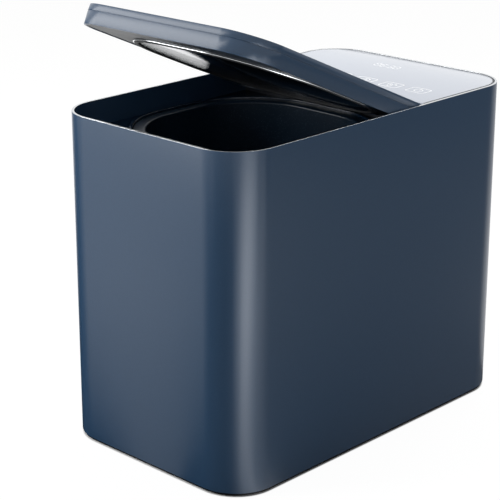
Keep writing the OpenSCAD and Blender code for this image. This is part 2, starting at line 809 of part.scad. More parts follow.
module reed_switch() color("#c9c4b8")
    block([-in_w + 5, sensor_y - sensor_l / 2, deck_z - deck_t - 5],
        [-in_w + 9, sensor_y + sensor_l / 2, deck_z - deck_t]);

// ---- Hinge ----
knuckle_x = 60;
knuckle_w = 10;
module hinge_knuckles() color("#1f3c59")
    for (side = [-1, 1])
        translate([side * knuckle_x, 0, 0]) difference() {
            union() {
                translate([-knuckle_w / 2, hinge_y, hinge_z]) rotate([0, 90, 0])
                    cylinder(r = hinge_r - 0.1, h = knuckle_w);
                block([-knuckle_w / 2, hinge_y, hinge_z - hinge_r + 0.1],
                    [knuckle_w / 2, frame_front, body_h - glass_t - 0.1]);
            }
            translate([-knuckle_w, hinge_y, hinge_z]) rotate([0, 90, 0])
                cylinder(r = pin_r, h = 2 * knuckle_w);
        }

module hinge_pins() color("#b5b8bb")
    for (side = [-1, 1])
        translate([side * knuckle_x - 16, hinge_y, hinge_z]) rotate([0, 90, 0])
            cylinder(r = pin_r, h = 32);

// ---- Lid ----
// Side profile of the lid: flat top, round back edge, upright back wall
module lid_profile() {
    translate([-body_w, 0, 0]) rotate([90, 0, 90]) linear_extrude(2 * body_w) {
        translate([-body_d, 0]) square([body_d + hinge_y, body_h]);
        translate([-body_d, 0]) square([body_d + lid_back, hinge_z]);
        translate([hinge_y, hinge_z]) circle(r = hinge_r);
    }
}

// Room in the lid for the two fixed knuckles
module knuckle_slots() {
    for (side = [-1, 1])
        block([side * knuckle_x - knuckle_w / 2 - 0.3, hinge_y - hinge_r - 0.3, lid_low - 1],
            [side * knuckle_x + knuckle_w / 2 + 0.3, body_d, body_h + 1]);
}

module lid_cover() color("#24476a") lid_pose() difference() {
    intersection() {
        union() {
            slab(body_h - lid_t, body_h) front_outline(lid_in, lid_back);
            slab(lid_low, body_h) difference() {
                front_outline(lid_in, lid_back);
                front_outline(lid_in + lid_t, lid_back - lid_t);
            }
            translate([-in_w + lid_gap, hinge_y, hinge_z]) rotate([0, 90, 0])
                cylinder(r = hinge_r, h = 2 * (in_w - lid_gap));
        }
        lid_profile();
    }
    knuckle_slots();
    for (side = [-1, 1])
        translate([side * knuckle_x - 18, hinge_y, hinge_z]) rotate([0, 90, 0])
            cylinder(r = pin_r + run, h = 36);
}

wall_back = hinge_y - hinge_r - 0.6;
module lid_inner_frame() color("#14161a") lid_pose() difference() {
    union() {
        slab(ledge_z, ledge_z + ledge_t) difference() {
            front_outline(lid_in + lid_t, lid_back - lid_t);
            chamber(plug);
        }
        slab(ledge_z + ledge_t, body_h - lid_t) difference() {
            front_outline(lid_in + lid_t, wall_back);
            front_outline(lid_in + lid_t + 2, wall_back - 2);
        }
    }
    knuckle_slots();
}

module lid_plate() color("#25282c") lid_pose()
    slab(lid_low - 0.2, ledge_z + ledge_t) chamber(plug);

// The gasket's strip, and the trim outside it, open at the back
gasket_out = lip_in + 3;
trim_h = gasket_h;
module lid_trim() color("#c9ced3") lid_pose()
    slab(ledge_z - trim_h, ledge_z) intersection() {
        front_outline(lid_in + lid_t, wall_back - 2);
        difference() {
            chamber(gasket_out + trim_w);
            chamber(gasket_out);
        }
    }

module lid_gasket() color("#1d1e20") lid_pose()
    slab(gasket_low, ledge_z) difference() {
        chamber(gasket_out);
        chamber(lip_in - 0.5);
    }

module lid_magnet() color("#8c9094") lid_pose()
    block([-in_w + lid_gap + lid_t + 3, sensor_y - sensor_l / 2 + 2, ledge_z + ledge_t],
        [-in_w + lid_gap + lid_t + 9, sensor_y + sensor_l / 2 - 2, ledge_z + ledge_t + 5]);

// ---- Filter drawer ----
module filter_cover() color("#24476a") difference() {
    union() {
        block([cart_x - door_half, body_d / 2 - door_t, door_low],
            [cart_x + door_half, body_d / 2, door_high]);
        block([cart_x - pull_w / 2 - pull_t, body_d / 2 - door_t - pull_d,
                pull_z - pull_h / 2 - pull_t],
            [cart_x + pull_w / 2 + pull_t, body_d / 2, pull_z + pull_h / 2 + pull_t]);
    }
    block([cart_x - pull_w / 2, body_d / 2 - door_t - pull_d + pull_t, pull_z - pull_h / 2],
        [cart_x + pull_w / 2, body_d / 2 + 1, pull_z + pull_h / 2]);
    for (i = [0 : vent_count - 1])
        block([cart_x - vent_w / 2, body_d / 2 - door_t - 1, vent_z + i * vent_step],
            [cart_x + vent_w / 2, body_d / 2 + 1, vent_z + i * vent_step + vent_h]);
}

module drawer_carrier() color("#3c4046") {
    block([cart_x - cart_w / 2 - 2, cart_front, tray_low],
        [cart_x + cart_w / 2 + 2, body_d / 2 - door_t, cart_z]);
    for (side = [-1, 1])
        block([cart_x + side * (cart_w / 2 + 1.25) - 0.75, cart_front, cart_z],
            [cart_x + side * (cart_w / 2 + 1.25) + 0.75, body_d / 2 - door_t, cart_z + 14]);
}

module cart_box(grow, z0, z1) {
    half = cart_w / 2 + grow;
    block([cart_x - half, cart_y - half, z0], [cart_x + half, cart_y + half, z1]);
}

module filter_frame() color("#eef0f1") difference() {
    cart_box(0, frame_low, cap_z);
    cart_box(-cart_t, frame_low - 1, cap_z + 1);
    window_half = cart_w / 2 - 7;
    block([cart_x - window_half, cart_y - cart_w, window_low],
        [cart_x + window_half, cart_y + cart_w, window_high]);
    block([cart_x - cart_w, cart_y - window_half, window_low],
        [cart_x + cart_w, cart_y + window_half, window_high]);
    for (row = [0 : 2])
        for (i = [-5 : 5]) {
            block([cart_x + i * 5 - 1, cart_y - cart_w, window_high + 4 + row * 9],
                [cart_x + i * 5 + 1, cart_y + cart_w, window_high + 10 + row * 9]);
            block([cart_x - cart_w, cart_y + i * 5 - 1, window_high + 4 + row * 9],
                [cart_x + cart_w, cart_y + i * 5 + 1, window_high + 10 + row * 9]);
        }
}

module filter_cap() color("#f2f3f4") {
    cart_box(1, cap_z, cap_z + 4);
    cart_box(-6, cap_z + 4, cap_z + cap_h);
    for (side = [-1, 1])
        translate([cart_x + side * (cart_w / 2 - 0.5), cart_y - side * (cart_w / 2 - 1), cap_z])
            difference() {
                cylinder(r = ear_r, h = 4);
                translate([side * 2, -side * 2, -1]) cylinder(r = 2.2, h = 6);
            }
}

module filter_cup() color("#eef0f1") {
    cart_box(-4, cart_z, frame_low - 4);
    cart_box(0, frame_low - 4, frame_low);
}

module carbon_block() color("#1b1b1c") cart_box(-cart_t - 0.2, frame_low, window_high + 2);

module filter_felt() color("#d9d9d6") cart_box(-cart_t - 0.2, window_high + 2, window_high + 8);

outer_shell();
base_plate();
rubber_feet();
case_screws();
chamber_liner();
bucket();
bucket_bush();
bucket_seal();
fixed_cutters();
heater_plate();
insulation_pad();
thermostat();
gearbox_tray();
gearbox_cover();
gearbox_screws();
output_bushes();
gear_axles();
motor_can();
bay_divider();
filter_bay();
air_duct();
fan_housing();
fan_motor();
panel_frame();
control_panel();
touch_board();
display_module();
control_board();
power_board();
inlet_socket();
switch_bezel();
reed_switch();
hinge_knuckles();
hinge_pins();
lid_cover();
lid_inner_frame();
lid_plate();
lid_gasket();
lid_trim();
lid_magnet();
agitator();
bucket_shaft();
agitator_nut();
upper_dog();
lower_dog();
output_shaft();
output_gear();
second_gear();
first_gear();
motor_shaft();
motor_pinion();
fan_impeller();
filter_cover();
drawer_carrier();
filter_frame();
filter_cap();
filter_cup();
carbon_block();
filter_felt();
power_rocker();
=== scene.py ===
# %% [markdown]
# # A food waste composter, dressed for its photograph
# The machine is a tall rounded box in navy paint. Its lid stands open at the front over a
# black chamber, a pale glass panel fills the rear of its top, and a carbon filter slides out
# at the back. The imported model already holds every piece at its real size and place, so this
# lesson gives each visible piece its rounded edges, fine details and finish. Values are in
# millimetres and are turned to metres by MM, because Blender counts in metres.

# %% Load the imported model
import bpy
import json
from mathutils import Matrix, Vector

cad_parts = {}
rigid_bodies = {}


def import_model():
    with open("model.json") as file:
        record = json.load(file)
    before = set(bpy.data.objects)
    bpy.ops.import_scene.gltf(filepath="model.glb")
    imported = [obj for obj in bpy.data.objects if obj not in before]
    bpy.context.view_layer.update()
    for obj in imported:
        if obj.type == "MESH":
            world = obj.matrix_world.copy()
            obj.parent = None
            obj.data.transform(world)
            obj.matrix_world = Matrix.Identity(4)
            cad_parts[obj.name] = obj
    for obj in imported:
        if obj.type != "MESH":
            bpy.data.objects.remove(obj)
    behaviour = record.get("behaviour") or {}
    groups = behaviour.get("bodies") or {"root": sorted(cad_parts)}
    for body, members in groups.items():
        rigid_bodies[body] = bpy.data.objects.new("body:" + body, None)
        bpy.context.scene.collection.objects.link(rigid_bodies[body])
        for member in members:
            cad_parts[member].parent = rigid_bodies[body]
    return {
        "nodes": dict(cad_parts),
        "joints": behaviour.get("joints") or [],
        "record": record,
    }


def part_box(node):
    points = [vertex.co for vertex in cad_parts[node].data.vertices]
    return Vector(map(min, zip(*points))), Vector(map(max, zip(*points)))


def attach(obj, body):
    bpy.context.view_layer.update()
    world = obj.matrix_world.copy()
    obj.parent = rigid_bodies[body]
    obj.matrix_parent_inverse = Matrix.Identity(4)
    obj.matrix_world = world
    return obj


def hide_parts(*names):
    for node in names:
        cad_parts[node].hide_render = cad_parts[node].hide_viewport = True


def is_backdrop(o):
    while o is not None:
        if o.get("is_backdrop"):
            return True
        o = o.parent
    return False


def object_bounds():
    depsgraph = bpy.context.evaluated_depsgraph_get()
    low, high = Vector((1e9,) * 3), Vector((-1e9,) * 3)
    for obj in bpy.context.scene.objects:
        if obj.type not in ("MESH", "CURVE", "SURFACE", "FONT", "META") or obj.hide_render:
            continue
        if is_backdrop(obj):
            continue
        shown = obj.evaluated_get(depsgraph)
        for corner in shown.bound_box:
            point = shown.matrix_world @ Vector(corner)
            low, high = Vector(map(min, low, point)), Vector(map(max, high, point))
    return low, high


for leftover in list(bpy.data.objects):
    bpy.data.objects.remove(leftover)
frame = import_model()

import json
import math
import bmesh
from mathutils import Matrix, Vector, noise

MM = 0.001
cad_low, cad_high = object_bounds()
body_of = {n: b for b, ns in frame["record"]["behaviour"]["bodies"].items() for n in ns}
slot_of = {s["node"]: s["material_slot"] for s in frame["record"]["subparts"]}
hinge = next(j for j in frame["joints"] if j["name"] == "lid_hinge")
print(len(frame["nodes"]), "nodes; size in mm", [round(v / MM, 1) for v in cad_high - cad_low])

# %% [markdown]
# A finish is a node tree, and writing one by hand repeats the same three moves: add a node,
# set its values, link its inputs. One small helper does all three, so that a finish reads as
# a list of what feeds what. Colours are picked as sRGB hex values, as a paint chart gives
# them, and shaders want linear light, so one function turns them.

# %% Helpers for colours and nodes
def linear(hex_colour):
    """An sRGB hex colour as linear RGBA."""
    parts = [int(hex_colour[i:i + 2], 16) / 255 for i in (1, 3, 5)]
    return [c / 12.92 if c <= 0.04045 else ((c + 0.055) / 1.055) ** 2.4 for c in parts] + [1.0]


def add(tree, kind, inputs=None, **settings):
    """Adds a node, applies its settings, and fills its inputs with values or other outputs."""
    made = tree.nodes.new(kind)
    for name, value in settings.items():
        setattr(made, name, value)
    for name, value in (inputs or {}).items():
        if isinstance(value, bpy.types.NodeSocket):
            tree.links.new(value, made.inputs[name])
        else:
            made.inputs[name].default_value = value
    return made


def finish(name, colour, roughness, **sockets):
    """A new material with a Principled shader; returns the material, its tree and shader."""
    material = bpy.data.materials.new(name)
    material.use_nodes = True
    shader = material.node_tree.nodes["Principled BSDF"]
    shader.inputs["Base Color"].default_value = linear(colour)
    shader.inputs["Roughness"].default_value = roughness
    for socket, value in sockets.items():
        shader.inputs[socket.replace("_", " ")].default_value = value
    return material, material.node_tree, shader


def grain(tree, shader, size_mm, depth_mm, strength, detail=3.0, stretch=(1, 1, 1)):
    """Bump from noise whose lumps are about size_mm wide; returns the noise's output."""
    place = add(tree, "ShaderNodeTexCoord")
    turned = add(tree, "ShaderNodeMapping", {"Vector": place.outputs["Object"], "Scale": stretch})
    lumps = add(tree, "ShaderNodeTexNoise", {"Vector": turned.outputs["Vector"],
                "Scale": 1 / (size_mm * MM), "Detail": detail})
    bump = add(tree, "ShaderNodeBump", {"Height": lumps.outputs["Fac"],
               "Distance": depth_mm * MM, "Strength": strength})
    tree.links.new(bump.outputs["Normal"], shader.inputs["Normal"])
    return lumps.outputs["Fac"]


def shades(tree, shader, pattern, dark, light, socket="Base Color", low=0.35, high=0.65):
    """Spreads two colours (or two greys) over a pattern and feeds a socket of the shader."""
    ramp = add(tree, "ShaderNodeValToRGB", {"Fac": pattern})
    ramp.color_ramp.elements[0].position = low
    ramp.color_ramp.elements[1].position = high
    ramp.color_ramp.elements[0].color = dark
    ramp.color_ramp.elements[1].color = light
    tree.links.new(ramp.outputs["Color"], shader.inputs[socket])


def grey(value):
    """A grey of this linear value as RGBA."""
    return (value, value, value, 1.0)


print("helpers ready; mid grey in linear light is", round(linear("#808080")[0], 3))

# %% [markdown]
# The body is ABS or sheet with a satin navy paint. Sprayed paint dries with a fine orange
# peel, a waviness about a millimetre across that softens every reflection. A clear gloss
# coat would be too sharp here: the photo's reflections fade over 20 degrees, which is what a
# roughness near 0.3 gives. The colour itself hardly varies.

# %% Navy paint
paint, tree, shader = finish("satin_navy_paint", "#27415c", 0.3, IOR=1.5)
peel = grain(tree, shader, size_mm=1.2, depth_mm=0.006, strength=0.25, detail=2.0)
shades(tree, shader, peel, linear("#26405b"), linear("#29435e"))
print("paint:", paint.name)

# %% [markdown]
# The deck and liner are black ABS from a polished mould, so they mirror whatever is bright
# around them. Fine scuffs from wiping only change the roughness: they are seen in a highlight
# and nowhere else. The lid's inner frame, the inlet and the switch come from a mould with a
# spark-eroded texture. The base plate is matt, so that it stays black under the shell. Its
# near-black colour and turned-down reflection are partly painted shade: they stand in for the
# contact shadow under the machine.

# %% Black ABS
black_abs, tree, shader = finish("polished_black_abs", "#0f2032", 0.14, IOR=1.53)
scuffs = grain(tree, shader, size_mm=9, depth_mm=0.01, strength=0.05, detail=6.0)
shades(tree, shader, scuffs, grey(0.1), grey(0.2), "Roughness")

textured_abs, tree, shader = finish("spark_eroded_black_abs", "#1a222c", 0.45, IOR=1.53)
spark = grain(tree, shader, size_mm=0.5, depth_mm=0.03, strength=0.5)
shades(tree, shader, spark, linear("#171e27"), linear("#1f2832"))

# Painted shade in part: the darker colour and weak reflection stand in for the contact shadow
# under the shell.
matt_abs_and_painted_shade, tree, shader = finish("matt_black_abs_with_painted_shade", "#0a0c10", 0.7,
                                Specular_IOR_Level=0.15)
mould = grain(tree, shader, size_mm=0.6, depth_mm=0.02, strength=0.4)
shades(tree, shader, mould, linear("#090b0e"), linear("#0d0f13"))
print("black ABS:", black_abs.name, textured_abs.name, matt_abs_and_painted_shade.name)

# %% [markdown]
# The other mouldings differ in how much light goes into them. White polypropylene and acetal
# let a little in and look soft, while dark plastic and rubber only reflect it.

# %% Other plastics and rubber
grey_pp, tree, shader = finish("moulded_grey_polypropylene", "#3a3e45", 0.5, IOR=1.49)
flow = grain(tree, shader, size_mm=0.8, depth_mm=0.03, strength=0.4)
shades(tree, shader, flow, linear("#363a41"), linear("#40444c"))

white_pp, tree, shader = finish("moulded_white_polypropylene", "#eceeef", 0.4, IOR=1.49,
                                Subsurface_Weight=0.08, Subsurface_Scale=0.002)
flow = grain(tree, shader, size_mm=0.9, depth_mm=0.02, strength=0.35)
shades(tree, shader, flow, linear("#e6e8ea"), linear("#f1f2f3"))

rubber, tree, shader = finish("silicone_rubber", "#1c1d20", 0.62, IOR=1.41)
bloom = grain(tree, shader, size_mm=1.5, depth_mm=0.02, strength=0.3)
shades(tree, shader, bloom, linear("#17181b"), linear("#222428"))

acetal, tree, shader = finish("moulded_acetal", "#d9d4c6", 0.35, IOR=1.48,
                              Subsurface_Weight=0.05, Subsurface_Scale=0.002)
flow = grain(tree, shader, size_mm=1.5, depth_mm=0.01, strength=0.3)
shades(tree, shader, flow, linear("#d2ccbc"), linear("#dfdacd"))
print("others:", grey_pp.name, white_pp.name, rubber.name, acetal.name)

# %% [markdown]
# The bucket and stirrer are coated metal. A non-stick coat is sprayed and baked, so it has
# a soft eggshell gloss with tiny paler flecks. The flecks are cells of a Voronoi pattern,
# kept only near their centres. They are drawn about 1.4 mm apart in the bucket and 1.8 mm
# apart on the stirrer, so that they show.

# %% Non-stick coating
def nonstick(name, base, fleck, spacing_mm):
    """Baked coating of a base colour with paler flecks this far apart."""
    material, tree, shader = finish(name, base, 0.3, IOR=1.4)
    grain(tree, shader, size_mm=0.7, depth_mm=0.02, strength=0.35)
    place = add(tree, "ShaderNodeTexCoord")
    cells = add(tree, "ShaderNodeTexVoronoi", {"Vector": place.outputs["Object"],
                "Scale": 1 / (spacing_mm * MM)})
    shades(tree, shader, cells.outputs["Distance"], linear(fleck), linear(base),
           low=0.12, high=0.22)
    return material


bucket_coat = nonstick("sprayed_nonstick_bucket", "#10202f", "#4c5a68", 1.4)
arm_coat = nonstick("sprayed_nonstick_casting", "#2b323b", "#525b66", 1.8)
print("coatings:", bucket_coat.name, arm_coat.name)

# %% [markdown]
# Metals keep the shader's default IOR, and their look comes from roughness. The lid's plate
# is polished stainless sheet, the trim round it is bright plating. That sheet and ground
# parts have fine lines, made by stretching noise a hundred or fifty times along one direction.

# %% Metals
line_strength, smoothest, roughest = 0.3, 0.8, 1.25


def metal(name, colour, roughness, line_mm, along=(1, 1, 1), depth_mm=0.004):
    """A bare metal whose roughness varies about its own value along fine lines."""
    material, tree, shader = finish(name, colour, roughness, Metallic=1.0)
    lines = grain(tree, shader, line_mm, depth_mm, line_strength, stretch=along)
    shades(tree, shader, lines, grey(roughness * smoothest), grey(roughness * roughest),
           "Roughness")
    return material


lid_steel = metal("polished_stainless_sheet", "#8f959b", 0.12, 0.6, (0.01, 1, 1), 0.001)
bright_trim = metal("bright_nickel_plating", "#d9dcdf", 0.06, 4)
ground_steel = metal("ground_steel", "#b3b6b9", 0.26, 0.4, (1, 1, 0.02))
blade_steel = metal("stainless_cutter", "#c2c5c7", 0.2, 0.5, (0.02, 1, 1))
cast_aluminium = metal("blasted_cast_aluminium", "#b9bbbd", 0.5, 0.4, depth_mm=0.02)
sintered_bronze = metal("sintered_bronze", "#b48a48", 0.4, 0.3, depth_mm=0.02)
print("metals:", lid_steel.name, bright_trim.name, ground_steel.name, cast_aluminium.name)

# %% [markdown]
# The panel is glass painted pale grey on its back, so it is smooth and bright with a clean
# reflection. Its signs are white print. The felt, foam and fleece of the filter and the
# heater's wrap are matt, and their fibres show as fine noise in both colour and bump.

# %% Glass, print, fibres and boards
haze_mm = 9
panel_glass, tree, shader = finish("back_painted_glass", "#c5cbd6", 0.07, IOR=1.52)
place = add(tree, "ShaderNodeTexCoord")
haze = add(tree, "ShaderNodeTexNoise", {"Vector": place.outputs["Object"],
           "Scale": 1 / (haze_mm * MM), "Detail": 4.0})
shades(tree, shader, haze.outputs["Fac"], grey(0.05), grey(0.11), "Roughness")

white_print, tree, shader = finish("screen_printed_white", "#f7f9fb", 0.35, IOR=1.5)
ink = grain(tree, shader, size_mm=0.4, depth_mm=0.01, strength=0.2)
shades(tree, shader, ink, linear("#f3f5f8"), linear("#fafbfc"))

diffuser, tree, shader = finish("milky_diffuser", "#e8ebee", 0.3, IOR=1.5)
milk = grain(tree, shader, size_mm=2, depth_mm=0.01, strength=0.1)
shades(tree, shader, milk, linear("#e4e8eb"), linear("#edf0f2"))

mineral_felt, tree, shader = finish("mineral_fibre_felt", "#cfc9b4", 0.95, Sheen_Weight=0.3)
fibres = grain(tree, shader, size_mm=0.6, depth_mm=0.3, strength=0.8, detail=5,
               stretch=(1, 0.3, 1))
shades(tree, shader, fibres, linear("#b8b19a"), linear("#ddd8c6"))

fleece, tree, shader = finish("needled_filter_fleece", "#dcdcd8", 0.95, Sheen_Weight=0.4)
fibres = grain(tree, shader, size_mm=0.5, depth_mm=0.25, strength=0.8, detail=5,
               stretch=(0.3, 1, 1))
shades(tree, shader, fibres, linear("#c9c9c4"), linear("#eaeae7"))

carbon, tree, shader = finish("activated_carbon_foam", "#161617", 0.55, IOR=1.6)
flakes = grain(tree, shader, size_mm=1.6, depth_mm=0.5, strength=0.9, detail=4)
shades(tree, shader, flakes, linear("#0a0a0b"), linear("#2b2b2d"))

ceramic, tree, shader = finish("unglazed_ceramic", "#cbc4b6", 0.6)
flow = grain(tree, shader, size_mm=0.5, depth_mm=0.02, strength=0.4)
shades(tree, shader, flow, linear("#c2baab"), linear("#d3cdc0"))

solder_mask, tree, shader = finish("green_solder_mask", "#1f5a3c", 0.3, IOR=1.5)
tracks = grain(tree, shader, size_mm=1.2, depth_mm=0.03, strength=0.4, stretch=(1, 0.2, 1))
shades(tree, shader, tracks, linear("#1a4f34"), linear("#2a6b49"))
print("glass and fibres:", panel_glass.name, white_print.name, carbon.name, fleece.name)

# %% [markdown]
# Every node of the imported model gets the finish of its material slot. Pieces that are
# rebuilt below take theirs from the same table, unless they name one of their own, as the
# few that share a slot with another surface do.

# %% One finish for each material slot
finish_of = {
    "navy_shell": paint, "black_plastic": black_abs, "grey_plastic": grey_pp,
    "black_rubber": rubber, "nonstick_bucket": bucket_coat, "bronze": sintered_bronze,
    "cast_aluminium": cast_aluminium, "nonstick_steel": arm_coat, "steel": ground_steel,
    "acetal": acetal, "mineral_felt": mineral_felt, "ceramic": ceramic,
    "panel_glass": panel_glass, "circuit_board": solder_mask, "display_white": diffuser,
    "inner_steel": lid_steel, "silver_trim": bright_trim, "white_plastic": white_pp,
    "activated_carbon": carbon, "filter_fleece": fleece,
}
for name, node in frame["nodes"].items():
    node.material_slots[0].material = finish_of[slot_of[name]]
print(len(finish_of), "finishes on", len(frame["nodes"]), "nodes")

# %% [markdown]
# A moulded or cut edge is never perfectly sharp: it has a radius that catches a thin line of
# light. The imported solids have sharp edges, so a visible node is copied, its loose triangles
# are merged into whole faces, and a Bevel modifier rounds each edge sharper than 30 degrees.
# Hardened normals keep the flat faces flat.

# %% Helpers for pieces
merge_mm, flat_deg, sharp_deg = 0.001, 0.5, 30


def cad_copy(node):
    """A copy of a node's mesh, merged, with its flat triangles joined into whole faces."""
    bm = bmesh.new()
    bm.from_mesh(frame["nodes"][node].data)
    bmesh.ops.remove_doubles(bm, verts=bm.verts, dist=merge_mm * MM)
    bmesh.ops.dissolve_limit(bm, angle_limit=math.radians(flat_deg), verts=bm.verts,
                             edges=bm.edges)
    return bm


def piece(name, bm, node, stands_for=True, material=None, edge_mm=0.4, segments=2):
    """Makes a finished object from a bmesh; it rides, and takes its slot, as its node does."""
    mesh = bpy.data.meshes.new(name)
    bm.to_mesh(mesh)
    bm.free()
    mesh.shade_smooth()
    made = bpy.data.objects.new(name, mesh)
    bpy.context.scene.collection.objects.link(made)
    mesh.materials.append(material or finish_of[slot_of[node]])
    if edge_mm:
        bevel = made.modifiers.new("rounded_edges", "BEVEL")
        bevel.width = edge_mm * MM
        bevel.segments = segments
        bevel.limit_method = "ANGLE"
        bevel.angle_limit = math.radians(sharp_deg)
        bevel.use_clamp_overlap = False
        bevel.harden_normals = True
    else:
        mesh.set_sharp_from_angle(angle=math.radians(sharp_deg))
    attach(made, body_of[node])
    if stands_for:
        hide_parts(node)
    return made


def turn_lid(bm, degrees):
    """Turns a bmesh about the lid's hinge, as the joint does; a positive turn opens it."""
    bmesh.ops.rotate(bm, verts=bm.verts, cent=Vector(hinge["pos_m"]),
                     matrix=Matrix.Rotation(math.radians(degrees), 3, Vector(hinge["axis"])))


lid_open = -hinge["range_deg"][0]
print("the lid stands", lid_open, "degrees open")

# %% [markdown]
# Most visible pieces need no more than that rounding. The radius follows how each is made:
# two tenths of a millimetre on the painted shell and the panel's frame, three to six tenths
# on mouldings, sheet and the ground edge of the glass, and a whole one on the cast stirrer.

# %% Pieces that only need rounded edges
edge_radius_mm = {
    "outer_shell": 0.2, "base_plate": 0.3, "rubber_feet": 0.3, "hinge_knuckles": 0.3,
    "chamber_liner": 0.5, "panel_frame": 0.2, "control_panel": 0.5, "lid_inner_frame": 0.4,
    "lid_plate": 0.3, "lid_trim": 0.35, "lid_gasket": 0.5, "agitator": 1.0,
    "agitator_nut": 0.6, "fixed_cutters": 0.5, "filter_cover": 0.4, "drawer_carrier": 0.4,
    "filter_frame": 0.3, "filter_cap": 0.6, "filter_cup": 0.6, "inlet_socket": 0.4,
    "switch_bezel": 0.4, "power_rocker": 0.4,
}
special_finish = {
    "lid_inner_frame": textured_abs, "inlet_socket": textured_abs, "switch_bezel": textured_abs,
    "power_rocker": textured_abs, "fixed_cutters": blade_steel, "base_plate": matt_abs_and_painted_shade,
}
for name, radius in edge_radius_mm.items():
    piece(name + "_finished", cad_copy(name), name, material=special_finish.get(name),
          edge_mm=radius, segments=3)
print(len(edge_radius_mm), "nodes have rounded edges")

# %% [markdown]
# The sheet's upper edge is cut bare and polished, so it mirrors the white behind it at the
# front and beside the panel, and the dark lid along the mouth. It is made from the shell's
# own top faces: everything else is deleted, the rest is inset a little and given a thickness.

# %% Bright edge on the rim
edge_inset_mm, edge_thick_mm, edge_proud_mm = 0.05, 0.25, 0.04
level_mm, mostly = 0.01, 0.9


def outward(bm):
    """Turns all faces outwards; recalculating alone can turn a ring inside out."""
    bmesh.ops.recalc_face_normals(bm, faces=bm.faces)
    if bm.calc_volume(signed=True) < 0:
        bmesh.ops.reverse_faces(bm, faces=bm.faces)


def top_sheet(node, inset_mm):
    """The level faces at the very top of a node, and the margin that an inset cuts off them."""
    bm = cad_copy(node)
    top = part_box(node)[1].z - level_mm * MM
    bm.normal_update()
    rest = [f for f in bm.faces if f.normal.z < mostly or f.calc_center_median().z < top]
    bmesh.ops.delete(bm, geom=rest, context="FACES")
    margin = bmesh.ops.inset_region(bm, faces=bm.faces[:], thickness=inset_mm * MM,
                                    use_boundary=True, use_even_offset=True)["faces"]
    return bm, margin


def thicken(bm, low_z, thick_mm):
    """Gives level faces a thickness, upwards from a height in metres."""
    bm.normal_update()
    for face in bm.faces:
        if face.normal.z < 0:
            face.normal_flip()
    bmesh.ops.solidify(bm, geom=bm.faces[:], thickness=thick_mm * MM)
    lowest = min(v.co.z for v in bm.verts)
    bmesh.ops.translate(bm, verts=bm.verts, vec=(0, 0, low_z - lowest))
    outward(bm)


def rim_edge_piece():
    bm, margin = top_sheet("outer_shell", edge_inset_mm)
    bmesh.ops.delete(bm, geom=margin, context="FACES")
    thicken(bm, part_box("outer_shell")[1].z + (edge_proud_mm - edge_thick_mm) * MM,
            edge_thick_mm)
    print("bright edge:", len(bm.faces), "faces")
    made = piece("rim_edge", bm, "outer_shell", stands_for=False, material=bright_trim,
                 edge_mm=0.1)


rim_edge_piece()

# %% [markdown]
# The lid's cover has a fine parting line a third of the way down its side, and above it the
# wall leans in a little, which gives the band two tones. The copy is turned shut, cut by two
# level planes, and the narrow strip between them is pushed inwards; then the top is drawn in
# and the lid turned back.

# %% Lid cover with its parting line
parting_z_mm = 264.4
parting_h_mm = 0.4
parting_depth_mm = 0.3
lean_mm = 0.3
clear_of_hinge_mm, top_above_hinge_mm = 5, 2.99


def lid_cover_piece():
    bm = cad_copy("lid_cover")
    turn_lid(bm, -lid_open)
    low_z, high_z = parting_z_mm * MM, (parting_z_mm + parting_h_mm) * MM
    for z in (low_z, high_z):
        bmesh.ops.bisect_plane(bm, geom=bm.verts[:] + bm.edges[:] + bm.faces[:],
                               plane_co=(0, 0, z), plane_no=(0, 0, 1))
    hinge_y = hinge["pos_m"][1]
    low_x, high_x = min(v.co.x for v in bm.verts), max(v.co.x for v in bm.verts)
    front = min(v.co.y for v in bm.verts)
    middle = Vector((0, (front + hinge_y) / 2, 0))
    bm.normal_update()
    groove = []
    for face in bm.faces:
        centre = face.calc_center_median()
        outside = face.normal.dot((centre - middle).normalized()) > 0
        ahead = centre.y < hinge_y - clear_of_hinge_mm * MM
        if low_z < centre.z < high_z and outside and ahead:
            groove.append(face)
    bmesh.ops.inset_region(bm, faces=groove, thickness=0, depth=-parting_depth_mm * MM,
                           use_even_offset=True, use_boundary=True)
    top = [v for v in bm.verts if v.co.z > hinge["pos_m"][2] + top_above_hinge_mm * MM]
    bmesh.ops.scale(bm, verts=top, space=Matrix.Translation((0, -hinge_y, 0)),
                    vec=(1 - lean_mm * MM / high_x, 1 - lean_mm * MM / (hinge_y - front), 1))
    print("parting line:", len(groove), "faces; lid width in mm",
          round((high_x - low_x) / MM, 1))
    turn_lid(bm, lid_open)
    return piece("lid_cover_finished", bm, "lid_cover", edge_mm=0.15, segments=2)


lid_cover_piece()

# %% [markdown]
# The bucket is deep-drawn: its wall runs into its floor through a wide radius, and its rim
# is rolled over. Both come from one profile, carried round a rounded rectangle. Each step of
# the profile is a rectangle whose corner points are bevelled into arcs, and neighbouring
# steps are bridged. All outlines have the same number of points, so they join cleanly. Two
# steps of exactly one height could be bridged the wrong way round, so level parts get a
# slope of a twentieth of a millimetre.

# %% Level outlines
def outline(bm, half_w, half_d, centre_y, radius, z, turns=20):
    """Edges of a level rounded rectangle, in millimetres."""
    corners = bmesh.ops.create_grid(bm, x_segments=1, y_segments=1, size=1)["verts"]
    bmesh.ops.scale(bm, verts=corners, vec=(half_w * MM, half_d * MM, 1))
    bmesh.ops.translate(bm, verts=corners, vec=(0, centre_y * MM, z * MM))
    before = set(bm.edges) - {e for v in corners for e in v.link_edges}
    bmesh.ops.bevel(bm, geom=corners, offset=radius * MM, segments=turns, profile=0.5,
                    affect="VERTICES", material=-1)
    made = [e for e in bm.edges if e not in before]
    bmesh.ops.delete(bm, geom=list({f for e in made for f in e.link_faces}), context="FACES_ONLY")
    return made


